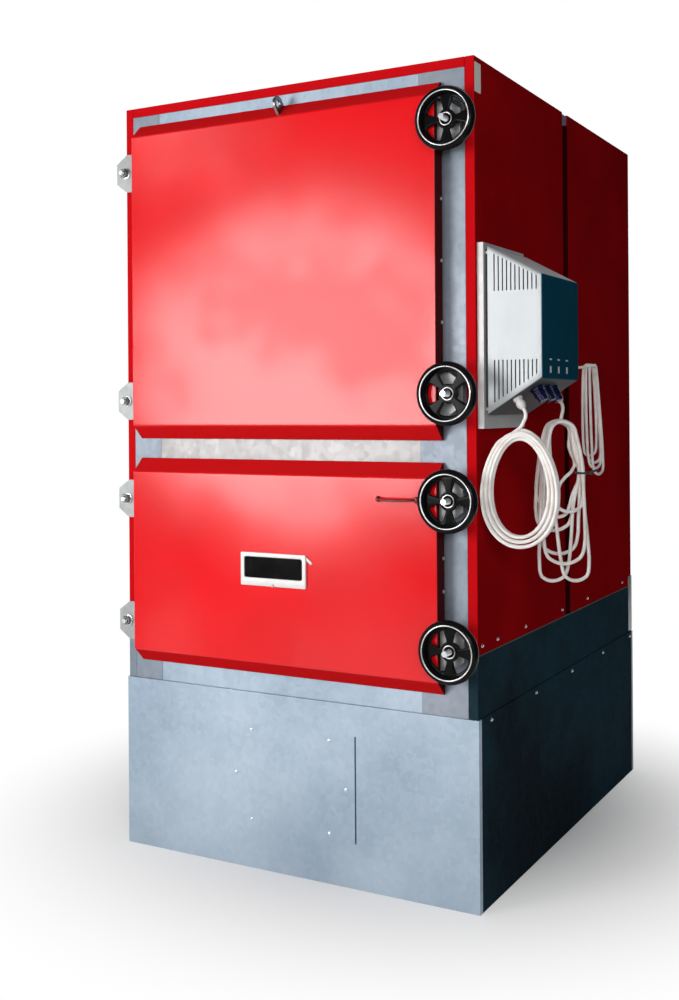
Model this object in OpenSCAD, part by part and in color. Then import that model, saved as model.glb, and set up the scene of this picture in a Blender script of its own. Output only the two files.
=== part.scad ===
// Industrial boiler: a red sheet-metal casing on a galvanised plinth, with an
// exchanger door over a furnace door. Both doors hang on the left and are
// clamped on the right by handwheels. A control box with coiled cables hangs
// on the right side. Front is -Y, the floor is z = 0, millimetres.

/* [Casing] */
// Width across the side panels
casing_w = 1180; // [1140:10:1300]
// Depth from the front to the back
casing_d = 1480; // [1300:10:1700]
// Height from the floor to the top
casing_h = 2300; // [2100:10:2500]
// Thickness of the insulated casing panels
panel_t = 28; // [20:1:40]
// Height of the plinth
plinth_h = 520; // [400:10:640]
// Thickness of the plinth sheets
plinth_t = 20; // [10:1:30]
// How far the plinth stands out past the casing
plinth_proud = 4; // [1:0.5:8]
// Thickness of the base plate
base_t = 10; // [6:1:20]
// Height of the galvanised band over the plinth
band_h = 170; // [100:5:240]
// Width of the groove between two side panels
seam_w = 50; // [20:1:70]
// Depth of the groove between two side panels
seam_depth = 24; // [10:1:26]
// How far behind the middle the groove lies
seam_y = 10; // [-40:1:40]
// Width of the slit in the front of the plinth
slit_w = 4; // [2:0.5:8]
// Depth of the slit
slit_depth = 10; // [2:1:10]
// Height of the slit
slit_h = 303; // [200:1:340]
// Slit's place across the plinth
slit_x = 217; // [120:1:320]
// Slit's lower end above the floor
slit_z = 127; // [60:1:160]

/* [Front frame] */
// Thickness of the front frame
frame_t = 12; // [8:1:20]
// Casing edge to door on the hinge side
door_margin_left = 59; // [50:1:66]
// Casing edge to door on the handwheel side
door_margin_right = 94; // [90:1:110]
// Strip of frame under the furnace door
strip_bottom = 60; // [40:1:80]
// Strip of frame between the doors
strip_middle = 60; // [50:1:80]
// Strip of frame over the exchanger door
strip_top = 34; // [25:1:50]
// How far a door laps over the frame all round
door_lap = 70; // [50:1:90]

/* [Chambers] */
// Depth of the furnace
furnace_depth = 1030; // [700:10:1100]
// Thickness of the furnace lining
lining_t = 70; // [40:1:70]
// Depth of the exchanger's smoke chamber
smoke_depth = 300; // [200:10:500]
// Thickness of the smoke chamber's plates
smoke_t = 12; // [6:1:20]
// Thickness of the tube plate
tube_plate_t = 20; // [10:1:30]

/* [Doors] */
// Height of the furnace door
furnace_door_h = 628; // [560:1:700]
// Depth of a door from back to front
door_depth = 45; // [42:1:60]
// Bevel along a door's top and bottom edges
door_bevel = 42; // [20:1:42]
// Gap between a shut door and the frame
door_gap = 5; // [5:0.5:10]
// Thickness of the door sheet
door_sheet = 3; // [2:0.5:5]
// Gap round the insulation inside a door
door_fill_clear = 0.5; // [0.2:0.1:0.8]

/* [Lugs and hinges] */
// Height of a lug at the door
lug_h = 116; // [100:1:140]
// How far a lug reaches from the door's edge
lug_reach = 68; // [60:1:70]
// Thickness of a lug
lug_t = 8; // [6:1:12]
// Width of the cut corner of a lug
lug_cut_w = 38; // [20:1:45]
// Height of the cut corner of a lug
lug_cut_h = 27; // [15:1:40]
// Hole of a hinge lug from the door's edge
lug_hole = 34; // [30:1:38]
// Hole of a clamping lug, where the handwheel sits, from the door's edge
clamp_hole = 40; // [36:1:44]
// Back of the lugs in front of the casing
lug_forward = 27; // [24:1:34]
// Upper handwheel of the exchanger door under its top edge
exchanger_clamp_top = 116; // [90:1:160]
// Lower handwheel of the exchanger door over its bottom edge
exchanger_clamp_bottom = 126; // [90:1:160]
// Upper handwheel of the furnace door under its top edge
furnace_clamp_top = 99; // [90:1:140]
// Lower handwheel of the furnace door over its bottom edge
furnace_clamp_bottom = 130; // [90:1:160]
// Upper hinge of the exchanger door under its top edge
exchanger_hinge_top = 147; // [100:1:180]
// Lower hinge of the exchanger door over its bottom edge
exchanger_hinge_bottom = 116; // [90:1:160]
// Upper hinge of the furnace door under its top edge
furnace_hinge_top = 126; // [90:1:150]
// Lower hinge of the furnace door over its bottom edge
furnace_hinge_bottom = 124; // [90:1:160]
// Hinge axis outside the casing's left face
hinge_out = 8; // [6:0.5:10]
// Hinge axis in front of the casing
hinge_forward = 12; // [11:0.5:14]
// Diameter of a hinge pin
pin_d = 10; // [8:0.5:11]
// Wall of a hinge barrel
barrel_wall = 4; // [3:0.5:4.5]
// Height of a hinge barrel
barrel_h = 40; // [30:1:50]
// Thickness of a hinge leaf
leaf_t = 12; // [8:0.5:14]
// Thickness of a hinge bracket's ears
ear_t = 8; // [5:0.5:10]
// Length of a hinge bracket along the side of the casing
bracket_l = 50; // [30:1:80]
// Diameter of the studs, in the hinges and in the handwheels
stud_d = 16; // [12:1:18]
// Diameter of a washer
washer_d = 30; // [26:1:34]
// Thickness of a washer
washer_t = 3; // [2:0.5:4]
// Size of a hinge nut across its corners
nut_d = 27.7; // [24:0.1:30]
// Height of a hinge nut
nut_h = 13; // [10:0.5:16]
// Stud end in front of a hinge nut
stud_end = 9; // [4:1:14]
// Radial clearance of turning fits
running_clear = 0.05; // [0.02:0.01:0.1]
// Radial clearance of a bolt in its hole
bolt_clear = 0.2; // [0.1:0.05:0.4]
// Clearance at the end faces of turning parts
face_clear = 0.5; // [0.3:0.1:0.8]

/* [Handwheels] */
// Diameter of a handwheel
wheel_d = 172; // [150:1:176]
// Width of a handwheel's rim
rim_w = 20; // [14:1:26]
// Thickness of a handwheel's rim
rim_t = 30; // [27:1:40]
// Rim's back in front of the spokes' back
rim_forward = 1; // [0:0.5:4]
// Thickness of the spokes
spoke_t = 10; // [6:1:14]
// Width of the spokes
spoke_w = 26; // [16:1:32]
// Diameter of a handwheel's hub
hub_d = 40; // [34:1:46]
// Hub's front face over the spokes
hub_front = 3; // [1:0.5:8]
// Clearance between a handwheel and its door
wheel_clear = 6; // [5:0.5:10]
// Stud end in front of the hub
wheel_stud_out = 30; // [10:1:40]
// Length of the stud inside the frame
stud_in = 28; // [16:1:34]
// Radial clearance of a stud in its clamping socket
socket_clear = 1.5; // [1.2:0.1:3]
// Wall of a clamping socket
socket_wall = 8; // [5:1:10]
// Depth of a clamping socket behind the frame
socket_l = 28; // [20:1:40]

/* [Sight window] */
// Width of the window's frame
window_w = 220; // [180:1:300]
// Height of the window's frame
window_h = 96; // [80:1:140]
// Middle of the window across the door, from the casing's middle
window_x = -20; // [-120:1:60]
// Lower edge of the window's frame over the door's lower edge
window_up = 265; // [180:1:320]
// Side and top rails of the window's frame
window_rail = 12; // [8:1:18]
// Bottom rail of the window's frame
window_sill = 23; // [16:1:30]
// Thickness of the window's frame
window_t = 8; // [6:0.5:12]
// Thickness of the glass
glass_t = 5; // [3:0.5:6]
// Gap round the glass
glass_clear = 0.5; // [0.2:0.1:0.8]
// How far the door sheet laps behind the glass
glass_lap = 5; // [3:1:10]
// Length of the tab beside the window
tab_l = 26; // [15:1:40]
// Width of the tab
tab_w = 9; // [6:1:14]
// Thickness of the tab
tab_t = 3; // [2:0.5:5]
// Slope of the tab
tab_angle = 38; // [0:1:60]

/* [Pull handle] */
// Diameter of the handle's rod
handle_d = 8; // [6:1:10]
// Length of the handle between its legs
handle_l = 115; // [80:1:140]
// How far the handle stands off the door
handle_off = 32; // [20:1:45]
// Left leg of the handle from the door's right edge
handle_in = 176; // [170:1:240]
// Height of the handle under the door's upper edge
handle_down = 100; // [70:1:140]

/* [Lifting eye] */
// Thickness of the lifting eye
eye_t = 8; // [5:1:12]
// Width of the lifting eye
eye_w = 44; // [36:1:52]
// Hole of the lifting eye over the bevel
eye_up = 24; // [20:1:34]
// Diameter of the lifting eye's hole
eye_hole_d = 22; // [16:1:28]

/* [Control box] */
// Width of the back plate
plate_w = 306; // [260:1:340]
// Height of the back plate
plate_h = 500; // [460:1:540]
// Thickness of the back plate
plate_t = 19; // [10:1:25]
// Front edge of the back plate behind the casing's front
plate_in = 10; // [4:1:30]
// Lower edge of the back plate over the floor
plate_z = 1300; // [1240:5:1400]
// Depth of the dark joint behind the cover
joint_t = 9; // [5:1:14]
// How far the joint lies inside the cover's outline
joint_in = 8; // [4:1:14]
// Depth of the cover
cover_d = 153; // [120:1:200]
// Width of the cover
cover_w = 300; // [250:1:306]
// Lower edge of the cover over the plate's lower edge
cover_up = 37; // [20:1:60]
// Height of the cover at its back
cover_h = 452; // [420:1:463]
// How much the cover's underside rises to the front
cover_rise = 97; // [60:1:120]
// How much the cover's top falls to the front
cover_fall = 83; // [50:1:110]
// Thickness of the cover's sheet
cover_t = 3; // [2:0.5:5]
// How far the cover's back flange laps over the joint
cover_flange = 12; // [6:1:30]
// Diameter of the cable glands
gland_d = 24; // [18:1:28]
// Length of the cable glands
gland_l = 34; // [26:1:40]
// Diameter of the round connectors
connector_d = 36; // [28:1:42]
// Length of the round connectors
connector_l = 40; // [25:1:50]

/* [Cables] */
// Diameter of the two thick cables
cable_d = 10; // [8:0.5:11]
// Diameter of the thin cable
thin_cable_d = 8; // [6:0.5:9]

/* [Hidden] */
$fn = 64;
eps = 1;

// Casing: faces and levels
half_w = casing_w / 2;
front_y = -casing_d / 2;
inner_w = half_w - panel_t;
roof_z = casing_h - panel_t;
panel_z = plinth_h + band_h;
plinth_half_w = half_w + plinth_proud;
plinth_half_d = casing_d / 2 + plinth_proud;
seam_front = seam_y - seam_w / 2;
seam_back = seam_y + seam_w / 2;

// Doors: edges and levels
door_left = -half_w + door_margin_left;
door_right = half_w - door_margin_right;
furnace_z0 = plinth_h + strip_bottom;
furnace_z1 = furnace_z0 + furnace_door_h;
exchanger_z0 = furnace_z1 + strip_middle;
exchanger_z1 = roof_z - strip_top;
door_back_y = front_y - door_gap;
door_front_y = door_back_y - door_depth;
door_lip = door_depth - door_bevel;
bevel_angle = 45;

// Mouths of the two chambers in the frame
mouth_left = door_left + door_lap;
mouth_right = door_right - door_lap;
frame_back_y = front_y + frame_t;
furnace_end_y = frame_back_y + furnace_depth;
smoke_end_y = frame_back_y + smoke_depth;

// Heights of each door's handwheels and hinges, upper one first
exchanger_clamps = [exchanger_z1 - exchanger_clamp_top, exchanger_z0 + exchanger_clamp_bottom];
furnace_clamps = [furnace_z1 - furnace_clamp_top, furnace_z0 + furnace_clamp_bottom];
all_clamps = concat(exchanger_clamps, furnace_clamps);
exchanger_hinges = [exchanger_z1 - exchanger_hinge_top, exchanger_z0 + exchanger_hinge_bottom];
furnace_hinges = [furnace_z1 - furnace_hinge_top, furnace_z0 + furnace_hinge_bottom];
all_hinges = concat(exchanger_hinges, furnace_hinges);

// Hinge axis and the wheels' axes
hinge_x = -half_w - hinge_out;
hinge_y = front_y - hinge_forward;
barrel_r = pin_d / 2 + barrel_wall;
ear_r = barrel_r + face_clear;
hinge_stud_x = door_left - lug_hole;
wheel_x = door_right + clamp_hole;
lug_front = lug_forward + lug_t;

// Distances in front of the casing, for the handwheels
spoke_back = door_gap + door_depth + wheel_clear;
spoke_front = spoke_back + spoke_t;
hub_face = spoke_front + hub_front;
rim_back = spoke_back + rim_forward;
rim_r = wheel_d / 2 - rim_w;

// Sight window
window_z = furnace_z0 + window_up;
glass_w = window_w - 2 * window_rail;
glass_h = window_h - window_rail - window_sill;
glass_z = window_z + window_sill;

// Control box
plate_y0 = front_y + plate_in;
plate_x = half_w + plate_t;
cover_x = plate_x + joint_t;
cover_front_x = cover_x + cover_d;
cover_y0 = plate_y0 + (plate_w - cover_w);
cover_y1 = cover_y0 + cover_w;
cover_z = plate_z + cover_up;
under_angle = atan2(cover_rise, cover_d);
top_angle = atan2(cover_fall, cover_d);

// Glands and connectors on the cover's underside, as [out from its back, in from its front end]
under_glands = [[72, 24], [100, 244]];
connectors = [[112, 64], [112, 124], [112, 184]];
// Gland on the cover's rear end, as [out from its back, up from its lower edge]
end_gland = [72, 133];

// Middle of each gland's mouth, where its cable comes out
function under_mouth(place) =
    [cover_x + place[0] + gland_l * sin(under_angle), cover_y0 + place[1],
     cover_z + cover_rise * place[0] / cover_d - gland_l * cos(under_angle)];
mouth_1 = under_mouth(under_glands[0]);
mouth_2 = under_mouth(under_glands[1]);
mouth_3 = [cover_x + end_gland[0], cover_y1 + gland_l, cover_z + end_gland[1]];

// Coils as [x, y and z of the lowest point from the mouth, height, width, top width, thickness, turn]
coil_1 = [-8, -8, -379, 327, 214, 170, 42, 22];
coil_2 = [-2, 0, -501, 451, 190, 100, 50, 40];
coil_3 = [64, 128, -326, 340, 105, 80, 40, 75];
// Free stretches between a gland and its coil, from the gland's mouth
lead_1 = [[0, 0, 0], [6, -1, -12], [6, -2, -24], [0, -4, -38], [-8, -6, -52], [-18, -8, -66]];
lead_2 = [[0, 0, 0], [5, 0, -10], [6, 0, -22], [3, 0, -36], [-1, 0, -50], [-4, 0, -66]];
lead_3 = [[0, -5, 0], [2, 10, 2], [8, 30, 5], [18, 50, 7], [30, 68, 6], [42, 86, 2], [52, 100, -10]];

RED = "#b8141b";
GALVANISED = "#9badba";
STEEL = "#c9cdd0";
BLACK = "#141414";
DARK = "#23262a";
REFRACTORY = "#b89f7d";
WHITE = "#ece8e2";
BLUE = "#1b2f78";

// A block between two corners
module slab(low, high) {
    translate(low) cube(high - low);
}

// A round bar along -Y, from one distance in front of the casing to another
module bar_forward(d, from, to) {
    translate([0, 0, from]) cylinder(d = d, h = to - from);
}

// Places its children at a point of the casing's front, with their +Z facing forward
module on_front(x, z) {
    translate([x, front_y, z]) rotate([90, 0, 0]) children();
}

// Casing

module base_plate() {
    color(GALVANISED)
        slab([-plinth_half_w + plinth_t, -plinth_half_d + plinth_t, 0],
             [plinth_half_w - plinth_t, plinth_half_d - plinth_t, base_t]);
}

module plinth_front() {
    color(GALVANISED) difference() {
        slab([-plinth_half_w, -plinth_half_d, 0],
             [plinth_half_w, -plinth_half_d + plinth_t, plinth_h]);
        slab([slit_x - slit_w / 2, -plinth_half_d - eps, slit_z],
             [slit_x + slit_w / 2, -plinth_half_d + slit_depth, slit_z + slit_h]);
    }
}

module plinth_back() {
    color(GALVANISED)
        slab([-plinth_half_w, plinth_half_d - plinth_t, 0],
             [plinth_half_w, plinth_half_d, plinth_h]);
}

module plinth_side() {
    color(GALVANISED)
        slab([plinth_half_w - plinth_t, -plinth_half_d + plinth_t, 0],
             [plinth_half_w, plinth_half_d - plinth_t, plinth_h]);
}

module plinth_left() { mirror([1, 0, 0]) plinth_side(); }
module plinth_right() { plinth_side(); }

module band_side() {
    color(GALVANISED) slab([inner_w, front_y, plinth_h], [half_w, -front_y, panel_z]);
}

module band_left() { mirror([1, 0, 0]) band_side(); }
module band_right() { band_side(); }

module band_back() {
    color(GALVANISED)
        slab([-inner_w, -front_y - panel_t, plinth_h], [inner_w, -front_y, panel_z]);
}

module side_front_panel() {
    color(RED) slab([inner_w, front_y, panel_z], [half_w, seam_front, casing_h]);
}

module side_rear_panel() {
    color(RED) slab([inner_w, seam_back, panel_z], [half_w, -front_y, casing_h]);
}

module left_front_panel() { mirror([1, 0, 0]) side_front_panel(); }
module left_rear_panel() { mirror([1, 0, 0]) side_rear_panel(); }
module right_front_panel() { side_front_panel(); }
module right_rear_panel() { side_rear_panel(); }

module top_panel() {
    color(RED) slab([-inner_w, front_y, roof_z], [inner_w, -front_y, casing_h]);
}

module back_panel() {
    color(RED) slab([-inner_w, -front_y - panel_t, panel_z], [inner_w, -front_y, roof_z]);
}

module seam_strips() {
    color(DARK) for (side = [0, 1]) mirror([side, 0, 0])
        slab([inner_w, seam_front, panel_z], [half_w - seam_depth, seam_back, casing_h]);
}

// Front frame

module frame_left_stile() {
    color(GALVANISED) slab([-inner_w, front_y, plinth_h], [mouth_left, frame_back_y, roof_z]);
}

module frame_right_stile() {
    color(GALVANISED) difference() {
        slab([mouth_right, front_y, plinth_h], [inner_w, frame_back_y, roof_z]);
        for (z = all_clamps) on_front(wheel_x, z)
            bar_forward(stud_d + 2 * socket_clear, -frame_t - eps, eps);
    }
}

module frame_rail(z0, z1) {
    color(GALVANISED) slab([mouth_left, front_y, z0], [mouth_right, frame_back_y, z1]);
}

module frame_top_rail() { frame_rail(exchanger_z1 - door_lap, roof_z); }
module frame_middle_rail() { frame_rail(furnace_z1 - door_lap, exchanger_z0 + door_lap); }
module frame_bottom_rail() { frame_rail(plinth_h, furnace_z0 + door_lap); }

module clamp_sockets() {
    color(STEEL) for (z = all_clamps) on_front(wheel_x, z) difference() {
        bar_forward(stud_d + 2 * (socket_clear + socket_wall), -frame_t - socket_l, -frame_t);
        bar_forward(stud_d + 2 * socket_clear, -frame_t - socket_l - eps, -frame_t + eps);
    }
}

// Furnace and smoke chamber behind the doors

module furnace_slab(z0, z1) {
    color(REFRACTORY)
        slab([mouth_left - lining_t, frame_back_y, z0],
             [mouth_right + lining_t, furnace_end_y + lining_t, z1]);
}

module furnace_floor() { furnace_slab(furnace_z0 + door_lap - lining_t, furnace_z0 + door_lap); }
module furnace_roof() { furnace_slab(furnace_z1 - door_lap, furnace_z1 - door_lap + lining_t); }

module furnace_side_walls() {
    color(REFRACTORY) for (x = [mouth_left - lining_t, mouth_right])
        slab([x, frame_back_y, furnace_z0 + door_lap],
             [x + lining_t, furnace_end_y, furnace_z1 - door_lap]);
}

module furnace_back_wall() {
    color(REFRACTORY)
        slab([mouth_left - lining_t, furnace_end_y, furnace_z0 + door_lap],
             [mouth_right + lining_t, furnace_end_y + lining_t, furnace_z1 - door_lap]);
}

module smoke_side_plates() {
    color(DARK) for (x = [mouth_left - smoke_t, mouth_right])
        slab([x, frame_back_y, exchanger_z0 + door_lap],
             [x + smoke_t, smoke_end_y, exchanger_z1 - door_lap]);
}

module smoke_floor_and_roof() {
    color(DARK) for (z = [exchanger_z0 + door_lap - smoke_t, exchanger_z1 - door_lap])
        slab([mouth_left - smoke_t, frame_back_y, z],
             [mouth_right + smoke_t, smoke_end_y, z + smoke_t]);
}

module tube_plate() {
    color(DARK)
        slab([mouth_left - smoke_t, smoke_end_y, exchanger_z0 + door_lap - smoke_t],
             [mouth_right + smoke_t, smoke_end_y + tube_plate_t,
              exchanger_z1 - door_lap + smoke_t]);
}

// Hinges

// Ear of a hinge bracket, flat, round the pin and back along the casing's side
module ear_outline() {
    translate([hinge_x, hinge_y]) circle(r = ear_r);
    translate([hinge_x - pin_d / 2, hinge_y])
        square([pin_d / 2 + hinge_out, hinge_forward + bracket_l]);
}

module hinge_bracket(z) {
    ear_low = barrel_h / 2 + face_clear;
    translate([0, 0, z]) {
        for (side = [0, 1]) mirror([0, 0, side])
            translate([0, 0, ear_low]) linear_extrude(ear_t) ear_outline();
        slab([hinge_x - pin_d / 2, front_y + eps, -ear_low - ear_t],
             [-half_w, front_y + bracket_l, ear_low + ear_t]);
        translate([hinge_x, hinge_y, -ear_low - ear_t])
            cylinder(d = pin_d, h = 2 * (ear_low + ear_t));
    }
}

module hinge_brackets() {
    color(GALVANISED) for (z = all_hinges) hinge_bracket(z);
}

// Leaf with its barrel round the pin, and the stud, washer and nut that hold the lug
module hinge_leaf(z) {
    leaf_y = front_y - lug_forward;
    difference() {
        union() {
            slab([hinge_x, leaf_y, z - barrel_h / 2],
                 [door_left - eps, leaf_y + leaf_t, z + barrel_h / 2]);
            translate([hinge_x, hinge_y, z - barrel_h / 2]) cylinder(r = barrel_r, h = barrel_h);
        }
        translate([hinge_x, hinge_y, z - barrel_h / 2 - eps])
            cylinder(r = pin_d / 2 + running_clear, h = barrel_h + 2 * eps);
    }
    on_front(hinge_stud_x, z) {
        bar_forward(stud_d, lug_forward - leaf_t / 2, lug_front + washer_t + nut_h + stud_end);
        bar_forward(washer_d, lug_front, lug_front + washer_t);
        translate([0, 0, lug_front + washer_t]) cylinder(d = nut_d, h = nut_h, $fn = 6);
    }
}

module exchanger_door_hinges() {
    color(STEEL) for (z = exchanger_hinges) hinge_leaf(z);
}

module furnace_door_hinges() {
    color(STEEL) for (z = furnace_hinges) hinge_leaf(z);
}

// Doors

// Cross-section of a door as y and z, set in from its outside by a distance
module door_section(z0, z1, inset) {
    shift = inset * tan(bevel_angle / 2);
    polygon([[door_back_y, z0 + inset],
             [door_back_y - door_lip + shift, z0 + inset],
             [door_front_y + inset, z0 + door_bevel + shift],
             [door_front_y + inset, z1 - door_bevel - shift],
             [door_back_y - door_lip + shift, z1 - inset],
             [door_back_y, z1 - inset]]);
}

module door_body(z0, z1, inset) {
    translate([door_left + inset, 0, 0]) rotate([90, 0, 90])
        linear_extrude(door_right - door_left - 2 * inset) door_section(z0, z1, inset);
}

module door_skin(z0, z1) {
    difference() {
        door_body(z0, z1, 0);
        door_body(z0, z1, door_sheet);
        slab([door_left + door_sheet, door_back_y - eps, z0 + door_sheet],
             [door_right - door_sheet, door_back_y + eps, z1 - door_sheet]);
    }
}

// Lug at a door's right edge, with a hole at a distance from the edge
module lug(hole_x, hole_d) {
    half_h = lug_h / 2;
    difference() {
        linear_extrude(lug_t) polygon([[0, -half_h], [lug_reach - lug_cut_w, -half_h],
                                       [lug_reach, lug_cut_h - half_h],
                                       [lug_reach, half_h - lug_cut_h],
                                       [lug_reach - lug_cut_w, half_h], [0, half_h]]);
        translate([hole_x, 0, -eps]) cylinder(d = hole_d, h = lug_t + 2 * eps);
    }
}

module door_lugs(clamps, hinges) {
    for (z = clamps) on_front(door_right, z) translate([0, 0, lug_forward])
        lug(clamp_hole, stud_d + 2 * running_clear);
    for (z = hinges) on_front(door_left, z) translate([0, 0, lug_forward])
        mirror([1, 0, 0]) lug(lug_hole, stud_d + 2 * bolt_clear);
}

// Opening behind the sight window
module window_hole() {
    slab([window_x - glass_w / 2 + glass_lap, door_front_y - eps, glass_z + glass_lap],
         [window_x + glass_w / 2 - glass_lap, door_back_y + eps, glass_z + glass_h - glass_lap]);
}

module exchanger_door_skin() { color(RED) door_skin(exchanger_z0, exchanger_z1); }

module exchanger_door_fill() {
    color(REFRACTORY) door_body(exchanger_z0, exchanger_z1, door_sheet + door_fill_clear);
}

module exchanger_door_lugs() { color(GALVANISED) door_lugs(exchanger_clamps, exchanger_hinges); }

module furnace_door_skin() {
    color(RED) difference() {
        door_skin(furnace_z0, furnace_z1);
        window_hole();
    }
}

module furnace_door_fill() {
    color(REFRACTORY) difference() {
        door_body(furnace_z0, furnace_z1, door_sheet + door_fill_clear);
        window_hole();
    }
}

module furnace_door_lugs() { color(GALVANISED) door_lugs(furnace_clamps, furnace_hinges); }

// Plate with a hole, standing on the upper bevel of the exchanger door
module lifting_eye() {
    bevel_mid = door_bevel / 2;
    color(GALVANISED)
        translate([-eye_t / 2, door_back_y - door_lip - bevel_mid, exchanger_z1 - bevel_mid])
        rotate([bevel_angle, 0, 0]) rotate([90, 0, 90]) linear_extrude(eye_t) difference() {
            union() {
                translate([-eye_w / 2, 0]) square([eye_w, eye_up]);
                translate([0, eye_up]) circle(d = eye_w);
            }
            translate([0, eye_up]) circle(d = eye_hole_d);
        }
}

module window_frame() {
    color(STEEL) {
        difference() {
            slab([window_x - window_w / 2, door_front_y - window_t, window_z],
                 [window_x + window_w / 2, door_front_y, window_z + window_h]);
            slab([window_x - glass_w / 2, door_front_y - window_t - eps, glass_z],
                 [window_x + glass_w / 2, door_front_y + eps, glass_z + glass_h]);
        }
        translate([window_x + (window_w - window_rail) / 2, door_front_y,
                   window_z + window_h - window_rail / 2])
            rotate([0, tab_angle, 0]) translate([0, -tab_t, -tab_w / 2])
            cube([tab_l + window_rail / 2, tab_t, tab_w]);
    }
}

module window_glass() {
    color(BLACK)
        slab([window_x - glass_w / 2 + glass_clear, door_front_y - glass_t, glass_z + glass_clear],
             [window_x + glass_w / 2 - glass_clear, door_front_y, glass_z + glass_h - glass_clear]);
}

module pull_handle() {
    handle_x = door_right - handle_in;
    off_front = door_gap + door_depth;
    color(RED) on_front(handle_x, furnace_z1 - handle_down) {
        for (x = [0, handle_l]) translate([x, 0, 0]) {
            bar_forward(handle_d, off_front, off_front + handle_off);
            translate([0, 0, off_front + handle_off]) sphere(d = handle_d);
        }
        translate([0, 0, off_front + handle_off]) rotate([0, 90, 0])
            cylinder(d = handle_d, h = handle_l);
    }
}

// Handwheel with its stud, turned about its axis by an angle
module handwheel(z, angle) {
    color(BLACK) on_front(wheel_x, z) rotate([0, 0, angle]) {
        translate([0, 0, rim_back]) rotate_extrude() translate([rim_r, 0]) {
            translate([0, rim_w / 2]) square([rim_w, rim_t - rim_w]);
            for (y = [rim_w / 2, rim_t - rim_w / 2]) translate([rim_w / 2, y]) circle(d = rim_w);
        }
        for (turn = [0, 90]) rotate([0, 0, turn])
            translate([-rim_r - rim_w / 4, -spoke_w / 2, spoke_back])
            cube([2 * rim_r + rim_w / 2, spoke_w, spoke_t]);
        bar_forward(hub_d, lug_front + face_clear, hub_face);
        bar_forward(stud_d, -stud_in, hub_face + wheel_stud_out);
    }
}

module handwheel_1() { handwheel(exchanger_clamps[0], 0); }
module handwheel_2() { handwheel(exchanger_clamps[1], 45); }
module handwheel_3() { handwheel(furnace_clamps[0], 0); }
module handwheel_4() { handwheel(furnace_clamps[1], 0); }

// Control box

module control_back_plate() {
    color(GALVANISED)
        slab([half_w, plate_y0, plate_z], [plate_x, plate_y0 + plate_w, plate_z + plate_h]);
}

module control_joint() {
    color(DARK)
        slab([plate_x, cover_y0 + joint_in, cover_z + joint_in],
             [cover_x, cover_y1 - joint_in, cover_z + cover_h - joint_in]);
}

// Side outline of the cover as x and z, set in from its outside by a distance
module cover_outline(inset) {
    under = inset / cos(under_angle);
    over = inset / cos(top_angle);
    run = cover_d - inset;
    polygon([[inset, cover_rise * inset / cover_d + under],
             [run, cover_rise * run / cover_d + under],
             [run, cover_h - cover_fall * run / cover_d - over],
             [inset, cover_h - cover_fall * inset / cover_d - over]]);
}

// Hollow cover with a flange turned in all round its back
module control_cover() {
    flange = joint_in + cover_flange;
    color(STEEL) difference() {
        translate([cover_x, cover_y1, cover_z]) rotate([90, 0, 0])
            linear_extrude(cover_w) cover_outline(0);
        translate([cover_x, cover_y1 - cover_t, cover_z]) rotate([90, 0, 0])
            linear_extrude(cover_w - 2 * cover_t) cover_outline(cover_t);
        slab([cover_x - eps, cover_y0 + flange, cover_z + flange],
             [cover_x + cover_t + eps, cover_y1 - flange, cover_z + cover_h - flange]);
    }
}

// Places its children on the cover's underside, with their +Z square out of it
module under_cover(place) {
    translate([cover_x + place[0], cover_y0 + place[1],
               cover_z + cover_rise * place[0] / cover_d])
        rotate([0, 180 - under_angle, 0]) children();
}

module gland() {
    cylinder(d = gland_d, h = gland_l / 2, $fn = 6);
    cylinder(d = gland_d * 0.8, h = gland_l);
}

module cable_glands() {
    color(WHITE) {
        for (place = under_glands) under_cover(place) gland();
        translate([cover_x + end_gland[0], cover_y1, cover_z + end_gland[1]])
            rotate([-90, 0, 0]) gland();
    }
}

module control_connectors() {
    color(BLUE) for (place = connectors) under_cover(place) {
        cylinder(d = connector_d, h = connector_l / 4);
        cylinder(d = connector_d * 0.8, h = connector_l);
    }
}

// Cables

// Outer shape of a hanging coil, wide below and narrow above
module coil(mouth, c) {
    big_r = c[4] / 2;
    small_r = c[5] / 2;
    translate(mouth + [c[0], c[1], c[2]]) rotate([0, 0, c[7]]) rotate([90, 0, 0])
        translate([0, 0, -c[6] / 2]) linear_extrude(c[6]) hull() {
            translate([0, big_r]) circle(r = big_r, $fn = 32);
            translate([0, c[3] - small_r]) circle(r = small_r, $fn = 32);
        }
}

function unit(v) = v / norm(v);
function path_dir(p, i) = unit(p[min(i + 1, len(p) - 1)] - p[max(i - 1, 0)]);
function ring(p, i, r, sides) =
    let (t = path_dir(p, i), u = unit(cross(t, [1, 0, 0.3])), v = cross(t, u))
    [for (k = [0 : sides - 1]) p[i] + r * (cos(360 * k / sides) * u + sin(360 * k / sides) * v)];

// Round tube swept along a list of points, which start at a gland's mouth
module lead(mouth, route, d, sides = 10) {
    p = [for (point = route) mouth + point];
    n = len(p);
    points = [for (i = [0 : n - 1]) each ring(p, i, d / 2, sides)];
    walls = [for (i = [0 : n - 2]) for (k = [0 : sides - 1])
        [i * sides + k, i * sides + (k + 1) % sides,
         (i + 1) * sides + (k + 1) % sides, (i + 1) * sides + k]];
    start = [for (k = [sides - 1 : -1 : 0]) k];
    end = [for (k = [0 : sides - 1]) (n - 1) * sides + k];
    polyhedron(points, concat(walls, [start, end]));
}

module cable_1_coil() { color(WHITE) coil(mouth_1, coil_1); }
module cable_2_coil() { color(WHITE) coil(mouth_2, coil_2); }
module cable_3_coil() { color(WHITE) coil(mouth_3, coil_3); }
module cable_1_lead() { color(WHITE) lead(mouth_1, lead_1, cable_d); }
module cable_2_lead() { color(WHITE) lead(mouth_2, lead_2, cable_d); }
module cable_3_lead() { color(WHITE) lead(mouth_3, lead_3, thin_cable_d); }

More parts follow.
